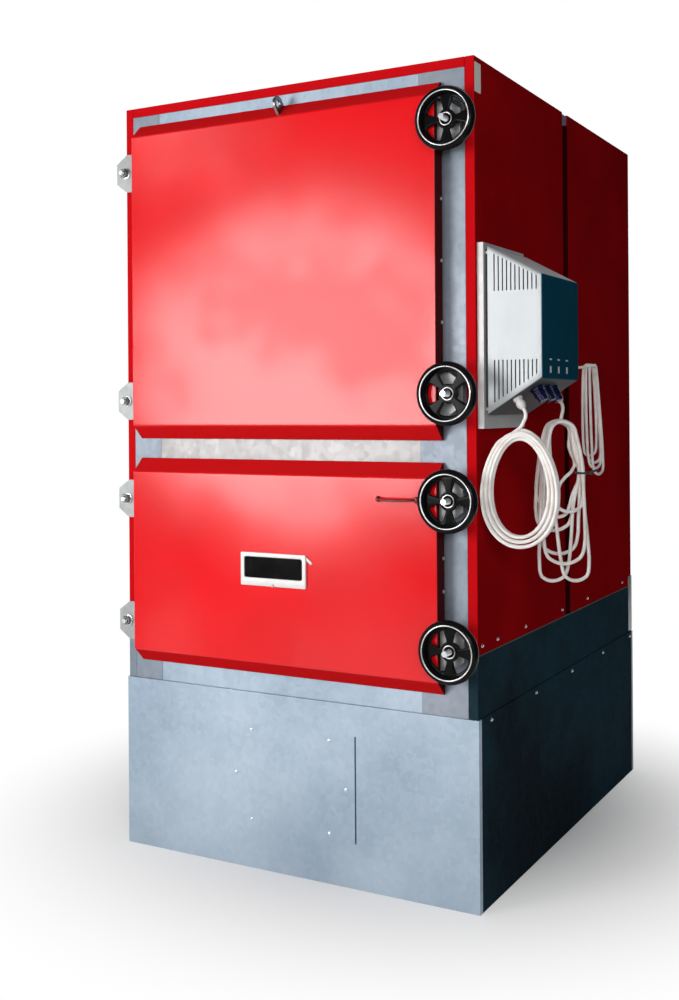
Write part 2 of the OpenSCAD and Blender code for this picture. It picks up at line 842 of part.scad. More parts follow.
base_plate();
plinth_front();
plinth_back();
plinth_left();
plinth_right();
band_left();
band_right();
band_back();
left_front_panel();
left_rear_panel();
right_front_panel();
right_rear_panel();
top_panel();
back_panel();
seam_strips();
frame_left_stile();
frame_right_stile();
frame_top_rail();
frame_middle_rail();
frame_bottom_rail();
furnace_floor();
furnace_roof();
furnace_side_walls();
furnace_back_wall();
smoke_side_plates();
smoke_floor_and_roof();
tube_plate();
hinge_brackets();
clamp_sockets();
control_back_plate();
control_joint();
control_cover();
cable_glands();
control_connectors();
cable_1_coil();
cable_2_coil();
cable_3_coil();
cable_1_lead();
cable_2_lead();
cable_3_lead();
exchanger_door_skin();
exchanger_door_fill();
exchanger_door_lugs();
exchanger_door_hinges();
lifting_eye();
furnace_door_skin();
furnace_door_fill();
furnace_door_lugs();
furnace_door_hinges();
window_frame();
window_glass();
pull_handle();
handwheel_1();
handwheel_2();
handwheel_3();
handwheel_4();
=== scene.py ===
import math

import bmesh
import bpy
from mathutils import Matrix, Vector


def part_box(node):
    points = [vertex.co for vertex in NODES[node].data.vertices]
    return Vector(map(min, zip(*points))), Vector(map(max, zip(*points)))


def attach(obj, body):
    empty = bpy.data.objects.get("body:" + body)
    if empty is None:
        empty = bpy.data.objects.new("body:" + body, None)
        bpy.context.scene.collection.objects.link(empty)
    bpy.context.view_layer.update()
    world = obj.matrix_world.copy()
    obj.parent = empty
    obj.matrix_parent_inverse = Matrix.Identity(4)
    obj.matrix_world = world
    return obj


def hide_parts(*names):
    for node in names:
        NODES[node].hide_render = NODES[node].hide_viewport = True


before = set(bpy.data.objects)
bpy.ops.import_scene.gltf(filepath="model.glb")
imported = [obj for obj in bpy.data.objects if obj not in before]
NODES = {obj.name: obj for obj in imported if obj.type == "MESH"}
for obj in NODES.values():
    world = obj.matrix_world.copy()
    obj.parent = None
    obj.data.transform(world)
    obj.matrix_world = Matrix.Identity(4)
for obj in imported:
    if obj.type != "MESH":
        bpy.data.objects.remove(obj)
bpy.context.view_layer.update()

SCENE = bpy.context.scene
MM = 0.001


def rotation(degrees, axis):
    return Matrix.Rotation(math.radians(degrees), 4, axis)


# Which way a fitting's own +Z axis points
FRONT = rotation(90, "X")
BACK = rotation(-90, "X")
RIGHT = rotation(90, "Y")
LEFT = rotation(-90, "Y")

# Camera, from the casing's corners in the photograph
PHOTO_HEIGHT = 1000
FOCAL_PIXELS = 1207.6
HORIZON_PIXEL = 408.8
CAMERA_PLACE = (1.842, -3.736, 1.356)
CAMERA_TURN = 29.14
CAMERA_ROLL = -0.38
SENSOR_MM = 36

# Light: a white horizon that dims upwards, and a floor that fades into it away from the object
HORIZON_COLOUR = (1, 1, 1, 1)
CEILING_COLOUR = (0.14, 0.14, 0.15, 1)
HORIZON_FADE = (0.34, 0.62)
FLOOR_HALF = 30
FLOOR_COLOUR = (0.76, 0.76, 0.76, 1)
FLOOR_FADE = (0.3, 1.6)

# Each studio light's place, target, width, height, radiance and shape
LIGHTS = {
    "key_light": ((-1.95, -4.3, 1.6), (-0.1, -0.8, 1.35), 2.2, 2.0, 7.5, "ELLIPSE"),
    "upper_light": ((-2.85, -4.1, 3.1), (-0.2, -0.8, 1.9), 1.0, 0.6, 2.5, "RECTANGLE"),
    "fill_light": ((0.3, -4.7, 2.1), (0, -0.8, 1.2), 1.4, 1.8, 3, "RECTANGLE"),
    "side_light": ((2.4, -4.2, 2.2), (0.7, -0.5, 1.4), 1.2, 1.2, 12, "RECTANGLE"),
    "top_light": ((0.5, 1.1, 5), (0, 0, 1.2), 2.2, 2.2, 2, "RECTANGLE"),
}

# Each dark board's two corners and tone
BOARDS = {
    "front_board": ((-8, -5.0, 0), (4, -4.9, 5), (0.10, 0.10, 0.11, 1)),
    "right_board": ((2.6, -2.5, 0), (2.7, 10, 6), (0.03, 0.06, 0.08, 1)),
}

# Sheet metal
FOLD_RADIUS = 2.5 * MM
EDGE_RADIUS = 1.5 * MM
DOOR_BEVEL = 42 * MM
DOOR_SHEET = 3 * MM
SHARP_ANGLE = math.radians(25)
CREASE_ANGLE = math.radians(32)
MERGE = 0.01 * MM
SPIN_STEPS = 32

# Places read from the solids
PLINTH_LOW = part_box("plinth_front")[0]
PLINTH_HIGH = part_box("plinth_back")[1]
PANEL_LOW, PANEL_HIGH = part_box("right_front_panel")
CASING_HALF = PANEL_HIGH.x
CASING_FRONT = PANEL_LOW.y
CASING_BACK = -CASING_FRONT
CASING_TOP = PANEL_HIGH.z
BAND_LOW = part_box("band_right")[0].z
DOORS = {"exchanger_door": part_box("exchanger_door_skin"), "furnace_door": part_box("furnace_door_skin")}
DOOR_FRONT = DOORS["exchanger_door"][0].y
DOOR_RIGHT = DOORS["exchanger_door"][1].x

# The control cover: the heights of its upright face, and the slope under it
COVER_LOW, COVER_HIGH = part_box("control_cover")
COVER_FRONT_LOW = 1.434
COVER_FRONT_HIGH = 1.706
UNDER_AXIS = Vector((COVER_FRONT_LOW - COVER_LOW.z, 0, COVER_LOW.x - COVER_HIGH.x)).normalized()
UNDER_REACH = UNDER_AXIS.dot((COVER_HIGH.x, 0, COVER_FRONT_LOW))


# Shader maths


class Signal:
    """A shader socket; sums and products of signals add the Math nodes that work them out."""

    def __init__(self, finish, socket):
        self.finish = finish
        self.socket = socket

    def maths(self, operation, *values):
        return self.finish.node("ShaderNodeMath", {"operation": operation}, dict(enumerate(values)))

    def __add__(self, other):
        return self.maths("ADD", self, other)

    def __sub__(self, other):
        return self.maths("SUBTRACT", self, other)

    def __rsub__(self, other):
        return self.maths("SUBTRACT", other, self)

    def __mul__(self, other):
        return self.maths("MULTIPLY", self, other)

    __radd__ = __add__
    __rmul__ = __mul__


class Finish:
    """One node tree, built node by node, with the place on the object to start from."""

    def __init__(self, tree, coordinates="Object"):
        self.tree = tree
        self.place = self.node("ShaderNodeTexCoord", output=coordinates)

    def node(self, kind, settings=None, sockets=None, output=0):
        """Adds a node of a type with its settings, then the values or links of its sockets."""
        made = self.tree.nodes.new(kind)
        for name, value in (settings or {}).items():
            setattr(made, name, value)
        for key, value in (sockets or {}).items():
            self.feed(made.inputs[key], value)
        return Signal(self, made.outputs[output])

    def feed(self, socket, value):
        if isinstance(value, Signal):
            self.tree.links.new(value.socket, socket)
        else:
            socket.default_value = value

    def stretched(self, *scale):
        """The place with each of its axes scaled."""
        return self.node("ShaderNodeVectorMath", {"operation": "MULTIPLY"}, {0: self.place, 1: scale})

    def noise(self, scale, detail=2, place=None):
        sockets = {"Vector": place or self.place, "Scale": scale, "Detail": detail}
        return self.node("ShaderNodeTexNoise", {}, sockets)

    def cells(self, scale):
        """A number for each cell of a crystal pattern."""
        colour = self.node("ShaderNodeTexVoronoi", {}, {"Vector": self.place, "Scale": scale}, "Color")
        return self.node("ShaderNodeSeparateColor", {}, {0: colour})

    def between(self, value, low, high, to_low=0, to_high=1):
        """A value moved from one range to another, with soft ends."""
        settings = {"interpolation_type": "SMOOTHSTEP"}
        return self.node("ShaderNodeMapRange", settings,
                         {0: value, 1: low, 2: high, 3: to_low, 4: to_high})

    def mix(self, factor, first, second):
        return self.node("ShaderNodeMix", {"data_type": "RGBA"}, {0: factor, 6: first, 7: second}, 2)

    def bump(self, height, distance, under=None):
        sockets = {"Height": height, "Distance": distance, "Strength": 1}
        if under:
            sockets["Normal"] = under
        return self.node("ShaderNodeBump", {}, sockets)

    def axis(self, letter):
        return self.node("ShaderNodeSeparateXYZ", {}, {0: self.place}, letter)


class Paint(Finish):
    """A material on a Principled shader; sockets are set by their names."""

    def __init__(self, name):
        self.material = bpy.data.materials.new(name)
        self.material.use_nodes = True
        super().__init__(self.material.node_tree)

    def set(self, **sockets):
        shader = self.tree.nodes["Principled BSDF"]
        for name, value in sockets.items():
            self.feed(shader.inputs[name.replace("_", " ").replace("Ior", "IOR")], value)
        return self.material


def rgb(red, green, blue):
    return (red, green, blue, 1)


# Finishes


def red_paint(name, bright, dull, gloss, coat, level, edge=None, fold_shades=None):
    """Powder coat with a fine orange peel; a casing's front edges may take a lighter red as painted light,
    and a door's folds a darker red as painted shade.
    """
    paint = Paint(name)
    cloud = paint.between(paint.noise(2.6), 0.3, 0.7)
    fine = paint.noise(38, 3)
    colour = paint.mix(0.7 * cloud + 0.2 * fine, bright, dull)
    # Painted light: the casing's front edges take a lighter red than its shaded sides
    if edge:
        front = paint.between(paint.axis("Y"), CASING_FRONT + 1 * MM, CASING_FRONT + 4 * MM, 1, 0)
        colour = paint.mix(front, colour, edge)
    if coat:
        coat = coat * paint.between(paint.noise(3.1, 2), 0.34, 0.60, 0.62, 1)
    # Painted shade: a darker red on the door's top and bottom bevels and near-black on its right-hand flank,
    # with the coat taken off both
    if fold_shades:
        bevel = paint.between(paint.axis("Y"), DOOR_FRONT + 1 * MM, DOOR_FRONT + 5 * MM)
        shaded_flank = paint.between(paint.axis("X"), DOOR_RIGHT - 3 * MM, DOOR_RIGHT - 0.5 * MM)
        colour = paint.mix(shaded_flank, paint.mix(bevel, colour, fold_shades[0]), fold_shades[1])
        coat = coat * (1 - bevel) * (1 - shaded_flank)
    waves = paint.bump(paint.noise(2.3, 2), 2 * MM)
    peel = paint.bump(paint.noise(330, 1), 0.015 * MM, waves)
    return paint.set(Base_Color=colour, Roughness=gloss + 0.05 * cloud + 0.05 * fine, Coat_Weight=coat,
                     Coat_Roughness=0.18, Specular_Ior_Level=level, Normal=peel)


def galvanised(name, light, dark, shine, metal=0.88, level=0.5):
    """Zinc-coated sheet with its crystal spangle and soft cloudy patches."""
    paint = Paint(name)
    spangle = paint.cells(62)
    cloud = paint.between(paint.noise(2.4, 3), 0.3, 0.7)
    scuffs = paint.noise(30, 4, paint.stretched(1, 1, 0.25))
    tone = 0.14 * spangle + 0.74 * cloud + 0.12 * scuffs
    waves = paint.bump(paint.noise(1.7, 1), 1.2 * MM)
    grain = paint.bump(spangle, 0.02 * MM, waves)
    return paint.set(Base_Color=paint.mix(tone, light, dark), Metallic=metal, Specular_Ior_Level=level,
                     Roughness=shine + 0.08 * spangle + 0.10 * scuffs, Normal=grain)


def plated(name, light, dark):
    """Plated bolts, nuts and screws."""
    paint = Paint(name)
    cloud = paint.noise(90, 3)
    return paint.set(Base_Color=paint.mix(cloud, light, dark), Metallic=1.0,
                     Roughness=0.2 + 0.2 * cloud, Normal=paint.bump(paint.noise(500, 2), 0.03 * MM))


def brushed_steel():
    """Stainless sheet brushed up and down, with painted reflection in dark blue on the cover's face and
    painted shade under the cover.
    """
    paint = Paint("brushed_steel")
    lines = paint.noise(1, 3, paint.stretched(620, 620, 9))
    cloud = paint.noise(7, 3)
    tone = 0.5 * lines + 0.5 * cloud
    plain = paint.mix(tone, rgb(0.50, 0.52, 0.52), rgb(0.40, 0.42, 0.435))
    # Painted shade: the slope under the cover is darkened towards black
    along = {0: paint.place, 1: UNDER_AXIS}
    below = paint.node("ShaderNodeVectorMath", {"operation": "DOT_PRODUCT"}, along, "Value")
    painted_under_shade = paint.between(below, UNDER_REACH - 5 * MM, UNDER_REACH - 1 * MM)
    plain = paint.mix(0.88 * painted_under_shade, plain, rgb(0.02, 0.022, 0.026))
    # Painted reflection: the cover's upright face in a dark blue, with its metal turned down, for the dark
    # room it mirrors
    painted_dark_reflection = paint.mix(tone, rgb(0.008, 0.080, 0.135), rgb(0.003, 0.046, 0.082))
    face = paint.between(paint.axis("X"), COVER_HIGH.x - 5 * MM, COVER_HIGH.x - 1 * MM)
    return paint.set(Base_Color=paint.mix(face, plain, painted_dark_reflection), Metallic=0.55 - 0.52 * face,
                     Specular_Ior_Level=0.0, Roughness=0.34 + 0.14 * lines + 0.08 * cloud,
                     Normal=paint.bump(lines, 0.02 * MM))


def dark_rubber(name, tone):
    """Dull dark seals and strips, dusty in patches; also the black discs of soot and painted shade in the
    tube bores.
    """
    paint = Paint(name)
    dust = paint.noise(24, 4)
    dusty = tuple(0.06 + 0.8 * part for part in tone[:3]) + (1,)
    return paint.set(Base_Color=paint.mix(0.5 * dust, tone, dusty), Roughness=0.5 + 0.3 * dust,
                     Normal=paint.bump(paint.noise(420, 2), 0.06 * MM))


def black_moulding():
    """Polished black handwheels with a faint moulding texture."""
    paint = Paint("black_moulding")
    haze = paint.noise(38, 3)
    return paint.set(Base_Color=paint.mix(haze, rgb(0.003, 0.003, 0.0035), rgb(0.008, 0.008, 0.009)),
                     Roughness=0.10 + 0.12 * haze, Specular_Ior_Level=0.07,
                     Normal=paint.bump(paint.noise(160, 2), 0.03 * MM))


def cable_sheath():
    """Off-white sheath, a little soiled by handling."""
    paint = Paint("cable_sheath")
    soil = paint.noise(26, 4)
    return paint.set(Base_Color=paint.mix(paint.between(soil, 0.4, 0.85), rgb(0.94, 0.90, 0.86),
                                          rgb(0.78, 0.68, 0.62)),
                     Roughness=0.36 + 0.2 * soil,
                     Normal=paint.bump(paint.noise(240, 2), 0.08 * MM))


def moulded_plastic(name, tone, worn, gloss, coat):
    """Moulded fittings with a fine grain."""
    paint = Paint(name)
    cloud = paint.noise(60, 3)
    return paint.set(Base_Color=paint.mix(cloud, tone, worn), Roughness=gloss + 0.12 * cloud,
                     Coat_Weight=coat, Normal=paint.bump(paint.noise(700, 1), 0.02 * MM))


def sight_glass():
    """Furnace glass, black with soot behind and hazy in patches with the soot."""
    paint = Paint("sight_glass")
    soot = paint.noise(22, 5)
    return paint.set(Base_Color=paint.mix(soot, rgb(0.003, 0.003, 0.004), rgb(0.012, 0.011, 0.010)),
                     Roughness=0.05 + 0.12 * soot, Specular_Ior_Level=0.12)


def fire_lining(name, across, up):
    """Fired bricks with mortar joints, sooted in drifts, on a wall with these two axes."""
    paint = Paint(name)
    flat = paint.node("ShaderNodeCombineXYZ", {}, {0: paint.axis(across), 1: paint.axis(up)})
    sockets = {"Vector": flat, "Scale": 1, "Mortar Size": 0.004, "Brick Width": 0.23,
               "Row Height": 0.076, "Color1": rgb(0.44, 0.31, 0.20), "Color2": rgb(0.33, 0.22, 0.14),
               "Mortar": rgb(0.30, 0.27, 0.23)}
    bricks = paint.node("ShaderNodeTexBrick", {}, sockets)
    joints = paint.node("ShaderNodeTexBrick", {}, sockets, "Fac")
    soot = paint.between(paint.noise(3.2, 5), 0.35, 0.7)
    grit = paint.noise(190, 4)
    depth = paint.bump(joints, -1.5 * MM)
    return paint.set(Base_Color=paint.mix(0.75 * soot, bricks, rgb(0.03, 0.026, 0.023)),
                     Roughness=0.85 + 0.1 * grit, Normal=paint.bump(grit, 0.8 * MM, depth))


def castable():
    """Cast insulation in the backs of the doors, pitted and smoked."""
    paint = Paint("castable")
    grit = paint.noise(150, 5)
    smoke = paint.between(paint.noise(4, 4), 0.3, 0.75)
    pits = paint.between(paint.noise(60, 3), 0.62, 0.72)
    ground = paint.bump(grit, 0.7 * MM)
    return paint.set(Base_Color=paint.mix(0.7 * smoke, rgb(0.50, 0.43, 0.34), rgb(0.09, 0.075, 0.06)),
                     Roughness=0.88 + 0.08 * grit, Normal=paint.bump(pits, -1.2 * MM, ground))


def sooted_steel():
    """Boiler plate under soot, with rust showing through."""
    paint = Paint("sooted_steel")
    rust = paint.between(paint.noise(9, 5), 0.52, 0.7)
    grit = paint.noise(120, 4)
    return paint.set(Base_Color=paint.mix(rust, rgb(0.030, 0.027, 0.025), rgb(0.11, 0.045, 0.018)),
                     Metallic=0.3, Roughness=0.7 + 0.2 * grit, Normal=paint.bump(grit, 0.4 * MM))


def fibre_rope():
    """Plaited sealing rope round the doors."""
    paint = Paint("fibre_rope")
    plait = paint.node("ShaderNodeTexWave", {"bands_direction": "DIAGONAL"},
                       {"Vector": paint.place, "Scale": 70, "Distortion": 1.5})
    plait = paint.node("ShaderNodeSeparateColor", {}, {0: plait})
    smoke = paint.noise(11, 4)
    return paint.set(Base_Color=paint.mix(0.6 * smoke + 0.4 * plait, rgb(0.62, 0.58, 0.50),
                                          rgb(0.20, 0.18, 0.16)),
                     Roughness=0.92, Normal=paint.bump(plait, 1.2 * MM))


def label_paper():
    """Blank paper label, yellowed a little."""
    paint = Paint("label_paper")
    fibre = paint.noise(210, 4)
    stain = paint.noise(18, 3)
    return paint.set(Base_Color=paint.mix(0.6 * stain + 0.2 * fibre, rgb(0.92, 0.90, 0.82),
                                          rgb(0.78, 0.72, 0.58)),
                     Roughness=0.6 + 0.1 * fibre, Normal=paint.bump(fibre, 0.03 * MM))


# The doors' red, with painted shade on their bevels and right-hand flanks
DOOR_PAINT = red_paint("door_paint", rgb(0.80, 0.004, 0.008), rgb(0.68, 0.003, 0.006), 0.5, 1.0, 0.0,
                       fold_shades=(rgb(0.54, 0.008, 0.010), rgb(0.070, 0.012, 0.014)))
# The casing's red is a darker copy of the doors' paint as painted shade, with a lighter red on its front
# edges as painted light
SHADED_CASING_PAINT = red_paint("shaded_casing_paint", rgb(0.44, 0.004, 0.007), rgb(0.29, 0.003, 0.005), 0.5, 0.0, 0.0,
                         rgb(0.53, 0.005, 0.008))
HANDLE_PAINT = red_paint("handle_paint", rgb(0.26, 0.006, 0.010), rgb(0.16, 0.004, 0.006), 0.25, 0.5, 0.4)
# Near-black red for the strips down the side grooves' rear edges: painted shade in the groove
GROOVE_SHADE_PAINT = red_paint("groove_shade_paint", rgb(0.050, 0.003, 0.004), rgb(0.025, 0.002, 0.002), 0.6, 0.0, 0.0)
FRONT_ZINC = galvanised("front_zinc", rgb(0.46, 0.54, 0.62), rgb(0.30, 0.38, 0.46), 0.5)
# Darker copy of the galvanised sheet for the stiles: painted shade and painted reflection of the dim area
# they mirror
SHADED_STILE_ZINC = galvanised("shaded_stile_zinc", rgb(0.33, 0.36, 0.41), rgb(0.21, 0.245, 0.29), 0.46)
# Paler copy of the galvanised sheet for the control box's back plate and the sight window's frame: painted
# light
LIT_PLATE_ZINC = galvanised("lit_plate_zinc", rgb(0.72, 0.71, 0.70), rgb(0.58, 0.57, 0.56), 0.5, 0.5)
# Pale neutral copy of the galvanised sheet for the middle rail: painted reflection of the key light across
# it
LIT_RAIL_ZINC = galvanised("lit_rail_zinc", rgb(0.48, 0.475, 0.47), rgb(0.36, 0.355, 0.35), 0.52)
SIDE_ZINC = galvanised("side_zinc", rgb(0.28, 0.33, 0.38), rgb(0.18, 0.22, 0.26), 0.5)
# Dark blue copy of the galvanised sheet for the right-hand plinth and band: painted shade and painted
# reflection of dark surroundings
PAINTED_SHADE_ZINC = galvanised("painted_shade_zinc", rgb(0.018, 0.052, 0.074), rgb(0.011, 0.015, 0.019), 0.4, 0.04, 0.0)
LUG_ZINC = galvanised("lug_zinc", rgb(0.42, 0.43, 0.43), rgb(0.30, 0.31, 0.31), 0.45)
ZINC = plated("bright_zinc", rgb(0.84, 0.84, 0.83), rgb(0.55, 0.56, 0.58))
# Darker copy of the plated finish for the hinge nuts and the lifting eye: painted shade
SHADED_ZINC = plated("shaded_zinc", rgb(0.30, 0.31, 0.31), rgb(0.16, 0.17, 0.17))
# Bright plated finish for the rings that paint the handwheels' highlights
HIGHLIGHT_METAL = plated("painted_highlight_metal", rgb(0.66, 0.66, 0.65), rgb(0.48, 0.48, 0.48))
# The cover's steel, with painted reflection on its face and painted shade underneath
COVER_STEEL = brushed_steel()
SEAL_BLACK = dark_rubber("seal_black", rgb(0.016, 0.017, 0.019))
# Black discs in the tube mouths: soot and painted shade of the hollow tubes
BORE_SHADE = dark_rubber("painted_bore_shade", rgb(0.004, 0.004, 0.004))
SEAM_BROWN = dark_rubber("seam_brown", rgb(0.030, 0.018, 0.015))
WHEEL_BLACK = black_moulding()
SHEATH = cable_sheath()
PALE_PLASTIC = moulded_plastic("pale_plastic", rgb(0.84, 0.82, 0.80), rgb(0.62, 0.58, 0.55), 0.3, 0.1)
BLUE_PLASTIC = moulded_plastic("blue_plastic", rgb(0.004, 0.006, 0.06), rgb(0.002, 0.003, 0.02), 0.12, 0.3)
TIE_PLASTIC = moulded_plastic("tie_plastic", rgb(0.05, 0.05, 0.055), rgb(0.02, 0.02, 0.02), 0.35, 0.0)
GLASS = sight_glass()
LINING_FLAT = fire_lining("lining_flat", "X", "Y")
LINING_SIDE = fire_lining("lining_side", "Y", "Z")
LINING_END = fire_lining("lining_end", "X", "Z")
CASTABLE = castable()
SOOT = sooted_steel()
ROPE = fibre_rope()
PAPER = label_paper()


# Shapes, with a thread's sizes in mm

THREAD_PITCH = 2
THREAD_DEPTH = 1.1
THREAD_TIP = 1.6


def at(place, facing=Matrix.Identity(4)):
    return Matrix.Translation(place) @ facing


def in_mm(point):
    return MM * Vector(point)


def centred(half_wide, half_tall):
    """The two corners of a rectangle about the origin."""
    return (-half_wide, -half_tall), (half_wide, half_tall)


def spread(low, high, reach):
    """The two corners of a rectangle, moved outwards."""
    return (low[0] - reach, low[1] - reach), (high[0] + reach, high[1] + reach)


def block(low, high):
    """A block between two corners."""
    low, high = Vector(low), Vector(high)
    bm = bmesh.new()
    size = Matrix.Diagonal((high - low).to_4d())
    size[3][3] = 1
    bmesh.ops.create_cube(bm, size=1, matrix=Matrix.Translation((low + high) / 2) @ size)
    return bm


def side_block(side, inner, outer, low, high):
    """A block right (1) or left (-1) of the middle, between two distances from it and two (y, z) corners."""
    near, far = sorted((side * inner, side * outer))
    return block((near, *low), (far, *high))


def rod(radius, low, high, sides=24):
    """A round or many-sided bar along Z, from one height to another, in mm."""
    bm = bmesh.new()
    bmesh.ops.create_cone(bm, cap_ends=True, segments=sides, radius1=radius * MM, radius2=radius * MM,
                          depth=(high - low) * MM, matrix=at((0, 0, (low + high) / 2 * MM)))
    return bm


def turned(outline, steps=SPIN_STEPS):
    """An outline of (radius, height) points in mm, turned about the Z axis."""
    bm = bmesh.new()
    points = [bm.verts.new((radius * MM, 0, height * MM)) for radius, height in outline]
    edges = [bm.edges.new(pair) for pair in zip(points, points[1:])]
    bmesh.ops.spin(bm, geom=points + edges, cent=(0, 0, 0), axis=(0, 0, 1), angle=math.tau,
                   steps=steps, use_merge=True)
    bmesh.ops.remove_doubles(bm, verts=bm.verts[:], dist=MERGE)
    bmesh.ops.recalc_face_normals(bm, faces=bm.faces[:])
    return bm


def ball(radius, steps=8):
    """A ball about the origin, its radius in mm."""
    angles = [math.pi * step / steps for step in range(steps + 1)]
    return turned([(radius * math.sin(angle), -radius * math.cos(angle)) for angle in angles], 2 * steps)


def thread(radius, low, high):
    """A threaded end along Z, closed by a chamfered tip, in mm."""
    outline = [(radius, low)]
    for turn in range(int((high - low) / THREAD_PITCH)):
        outline.append((radius - THREAD_DEPTH, low + (turn + 0.5) * THREAD_PITCH))
        outline.append((radius, low + (turn + 1) * THREAD_PITCH))
    outline += [(radius - THREAD_TIP, high), (0, high)]
    return turned(outline, 20)


def thickened(bm, depth):
    """A flat shape stood up by a depth along Z, closed all round."""
    grown = bmesh.ops.extrude_face_region(bm, geom=bm.faces[:], use_keep_orig=True)
    tops = [part for part in grown["geom"] if isinstance(part, bmesh.types.BMVert)]
    bmesh.ops.translate(bm, verts=tops, vec=(0, 0, depth))
    bmesh.ops.recalc_face_normals(bm, faces=bm.faces[:])
    return bm


def bevelled(bm, geom, offset, segments, affect="EDGES"):
    bmesh.ops.bevel(bm, geom=geom, offset=offset, offset_type="OFFSET", segments=segments, profile=0.5,
                    affect=affect, clamp_overlap=True, material=-1)
    return bm


def rectangle(bm, low, high, corner):
    """Adds a flat rectangle with round corners."""
    spots = ((low[0], low[1]), (high[0], low[1]), (high[0], high[1]), (low[0], high[1]))
    corners = [bm.verts.new((x, y, 0)) for x, y in spots]
    bm.faces.new(corners)
    return bevelled(bm, corners, corner, 4, "VERTICES")


def plate(half_wide, half_tall, corner, depth):
    """A thin plate with round corners, standing on z = 0."""
    return thickened(rectangle(bmesh.new(), *centred(half_wide, half_tall), corner), depth)


def ring_plate(outer, inner, depth, outer_corner, inner_corner):
    """A flat ring between two round-cornered rectangles, each given by two corners."""
    bm = bmesh.new()
    rectangle(bm, *outer, outer_corner)
    rectangle(bm, *inner, inner_corner)
    bmesh.ops.delete(bm, geom=bm.faces[:], context="FACES_ONLY")
    bmesh.ops.bridge_loops(bm, edges=bm.edges[:])
    return thickened(bm, depth)


def softened(bm, radius, segments=2):
    """Rounds every sharp edge."""
    edges = [edge for edge in bm.edges
             if len(edge.link_faces) == 2 and edge.calc_face_angle(0) > SHARP_ANGLE]
    return bevelled(bm, edges, radius, segments)


def moved(bm, matrix):
    bmesh.ops.transform(bm, matrix=matrix, verts=bm.verts[:])
    return bm


def joined(parts):
    """One shape out of several, which are used up."""
    whole = bmesh.new()
    for part in parts:
        carrier = bpy.data.meshes.new("carrier")
        part.to_mesh(carrier)
        part.free()
        whole.from_mesh(carrier)
        bpy.data.meshes.remove(carrier)
    return whole


def solid_copy(node, radius):
    """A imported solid's own shape with its edges rounded."""
    bm = bmesh.new()
    bm.from_mesh(NODES[node].data)
    bmesh.ops.remove_doubles(bm, verts=bm.verts[:], dist=MERGE)
    bmesh.ops.dissolve_limit(bm, angle_limit=math.radians(1), verts=bm.verts[:], edges=bm.edges[:])
    return softened(bm, radius)


def added(name, bm, material):
    """Puts a shape, which is used up, into the scene with its material."""
    mesh = bpy.data.meshes.new(name)
    bm.to_mesh(mesh)
    bm.free()
    mesh.materials.append(material)
    made = bpy.data.objects.new(name, mesh)
    SCENE.collection.objects.link(made)
    return made


def piece(name, bm, body, material, stands_for=()):
    """Makes a shape a piece of the object that rides on a body."""
    for face in bm.faces:
        face.smooth = True
    for edge in bm.edges:
        edge.smooth = len(edge.link_faces) == 2 and edge.calc_face_angle() < CREASE_ANGLE
    made = added(name, bm, material)
    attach(made, body)
    if stands_for:
        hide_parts(*stands_for)
    return made


def sheet_metal(made, thickness):
    """Gives an open sheet its thickness, inwards."""
    shell = made.modifiers.new("sheet", "SOLIDIFY")
    shell.thickness = thickness
    shell.offset = -1


def flat_faces(made):
    """Keeps large faces flat in their shading, so that only the rounded edges turn."""
    shading = made.modifiers.new("shading", "WEIGHTED_NORMAL")
    shading.weight = 100
    shading.keep_sharp = True


def dressed(node, radius, body, material):
    """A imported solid's own shape with rounded edges, as the piece that shows in its place."""
    flat_faces(piece(node + "_sheet", solid_copy(node, radius), body, material, (node,)))


# Camera, light and floor


def photo_camera():
    data = bpy.data.cameras.new("photo_camera")
    data.sensor_width = SENSOR_MM
    data.lens = FOCAL_PIXELS / PHOTO_HEIGHT * SENSOR_MM
    data.shift_y = HORIZON_PIXEL / PHOTO_HEIGHT - 0.5
    camera = bpy.data.objects.new("photo_camera", data)
    turned_left = at(CAMERA_PLACE, rotation(CAMERA_TURN, "Z"))
    camera.matrix_world = turned_left @ FRONT @ rotation(CAMERA_ROLL, "Z")
    SCENE.collection.objects.link(camera)
    SCENE.camera = camera


def soft_box(name, place, target, width, height, radiance, shape):
    """A studio light of an even brightness, turned to a target."""
    data = bpy.data.lights.new(name, "AREA")
    data.shape = shape
    data.size = width
    data.size_y = height
    data.energy = radiance * math.pi * width * height
    light = bpy.data.objects.new(name, data)
    aim = (Vector(target) - Vector(place)).to_track_quat("-Z", "Y")
    light.matrix_world = at(place, aim.to_matrix().to_4x4())
    light.visible_camera = False
    SCENE.collection.objects.link(light)


def dark_board(name, low, high, tone):
    """A dark board beside the camera's view, for the metal to mirror."""
    board = added(name, block(low, high), Paint(name).set(Base_Color=tone, Roughness=0.9))
    board.visible_camera = False


def pale_floor():
    """A floor that takes the object's shadow and fades into the background away from it."""
    ground = Paint("pale_floor")
    ground.set(Base_Color=FLOOR_COLOUR, Roughness=0.9, Specular_Ior_Level=0.1)
    camera, glossy, through = (ground.node("ShaderNodeLightPath", output=f"Is {kind} Ray")
                               for kind in ("Camera", "Glossy", "Transmission"))
    away = ground.node("ShaderNodeVectorMath", {"operation": "LENGTH"}, {0: ground.place}, "Value")
    fade = ground.between(away, *FLOOR_FADE)
    glow = ground.node("ShaderNodeEmission", {}, {"Color": HORIZON_COLOUR})
    lit = Signal(ground, ground.tree.nodes["Principled BSDF"].outputs[0])
    shown = ground.node("ShaderNodeMixShader", {}, {0: (camera + glossy + through) * fade, 1: lit, 2: glow})
    ground.feed(ground.tree.nodes["Material Output"].inputs["Surface"], shown)
    bm = bmesh.new()
    bmesh.ops.create_grid(bm, x_segments=1, y_segments=1, size=FLOOR_HALF)
    added("floor", bm, ground.material)


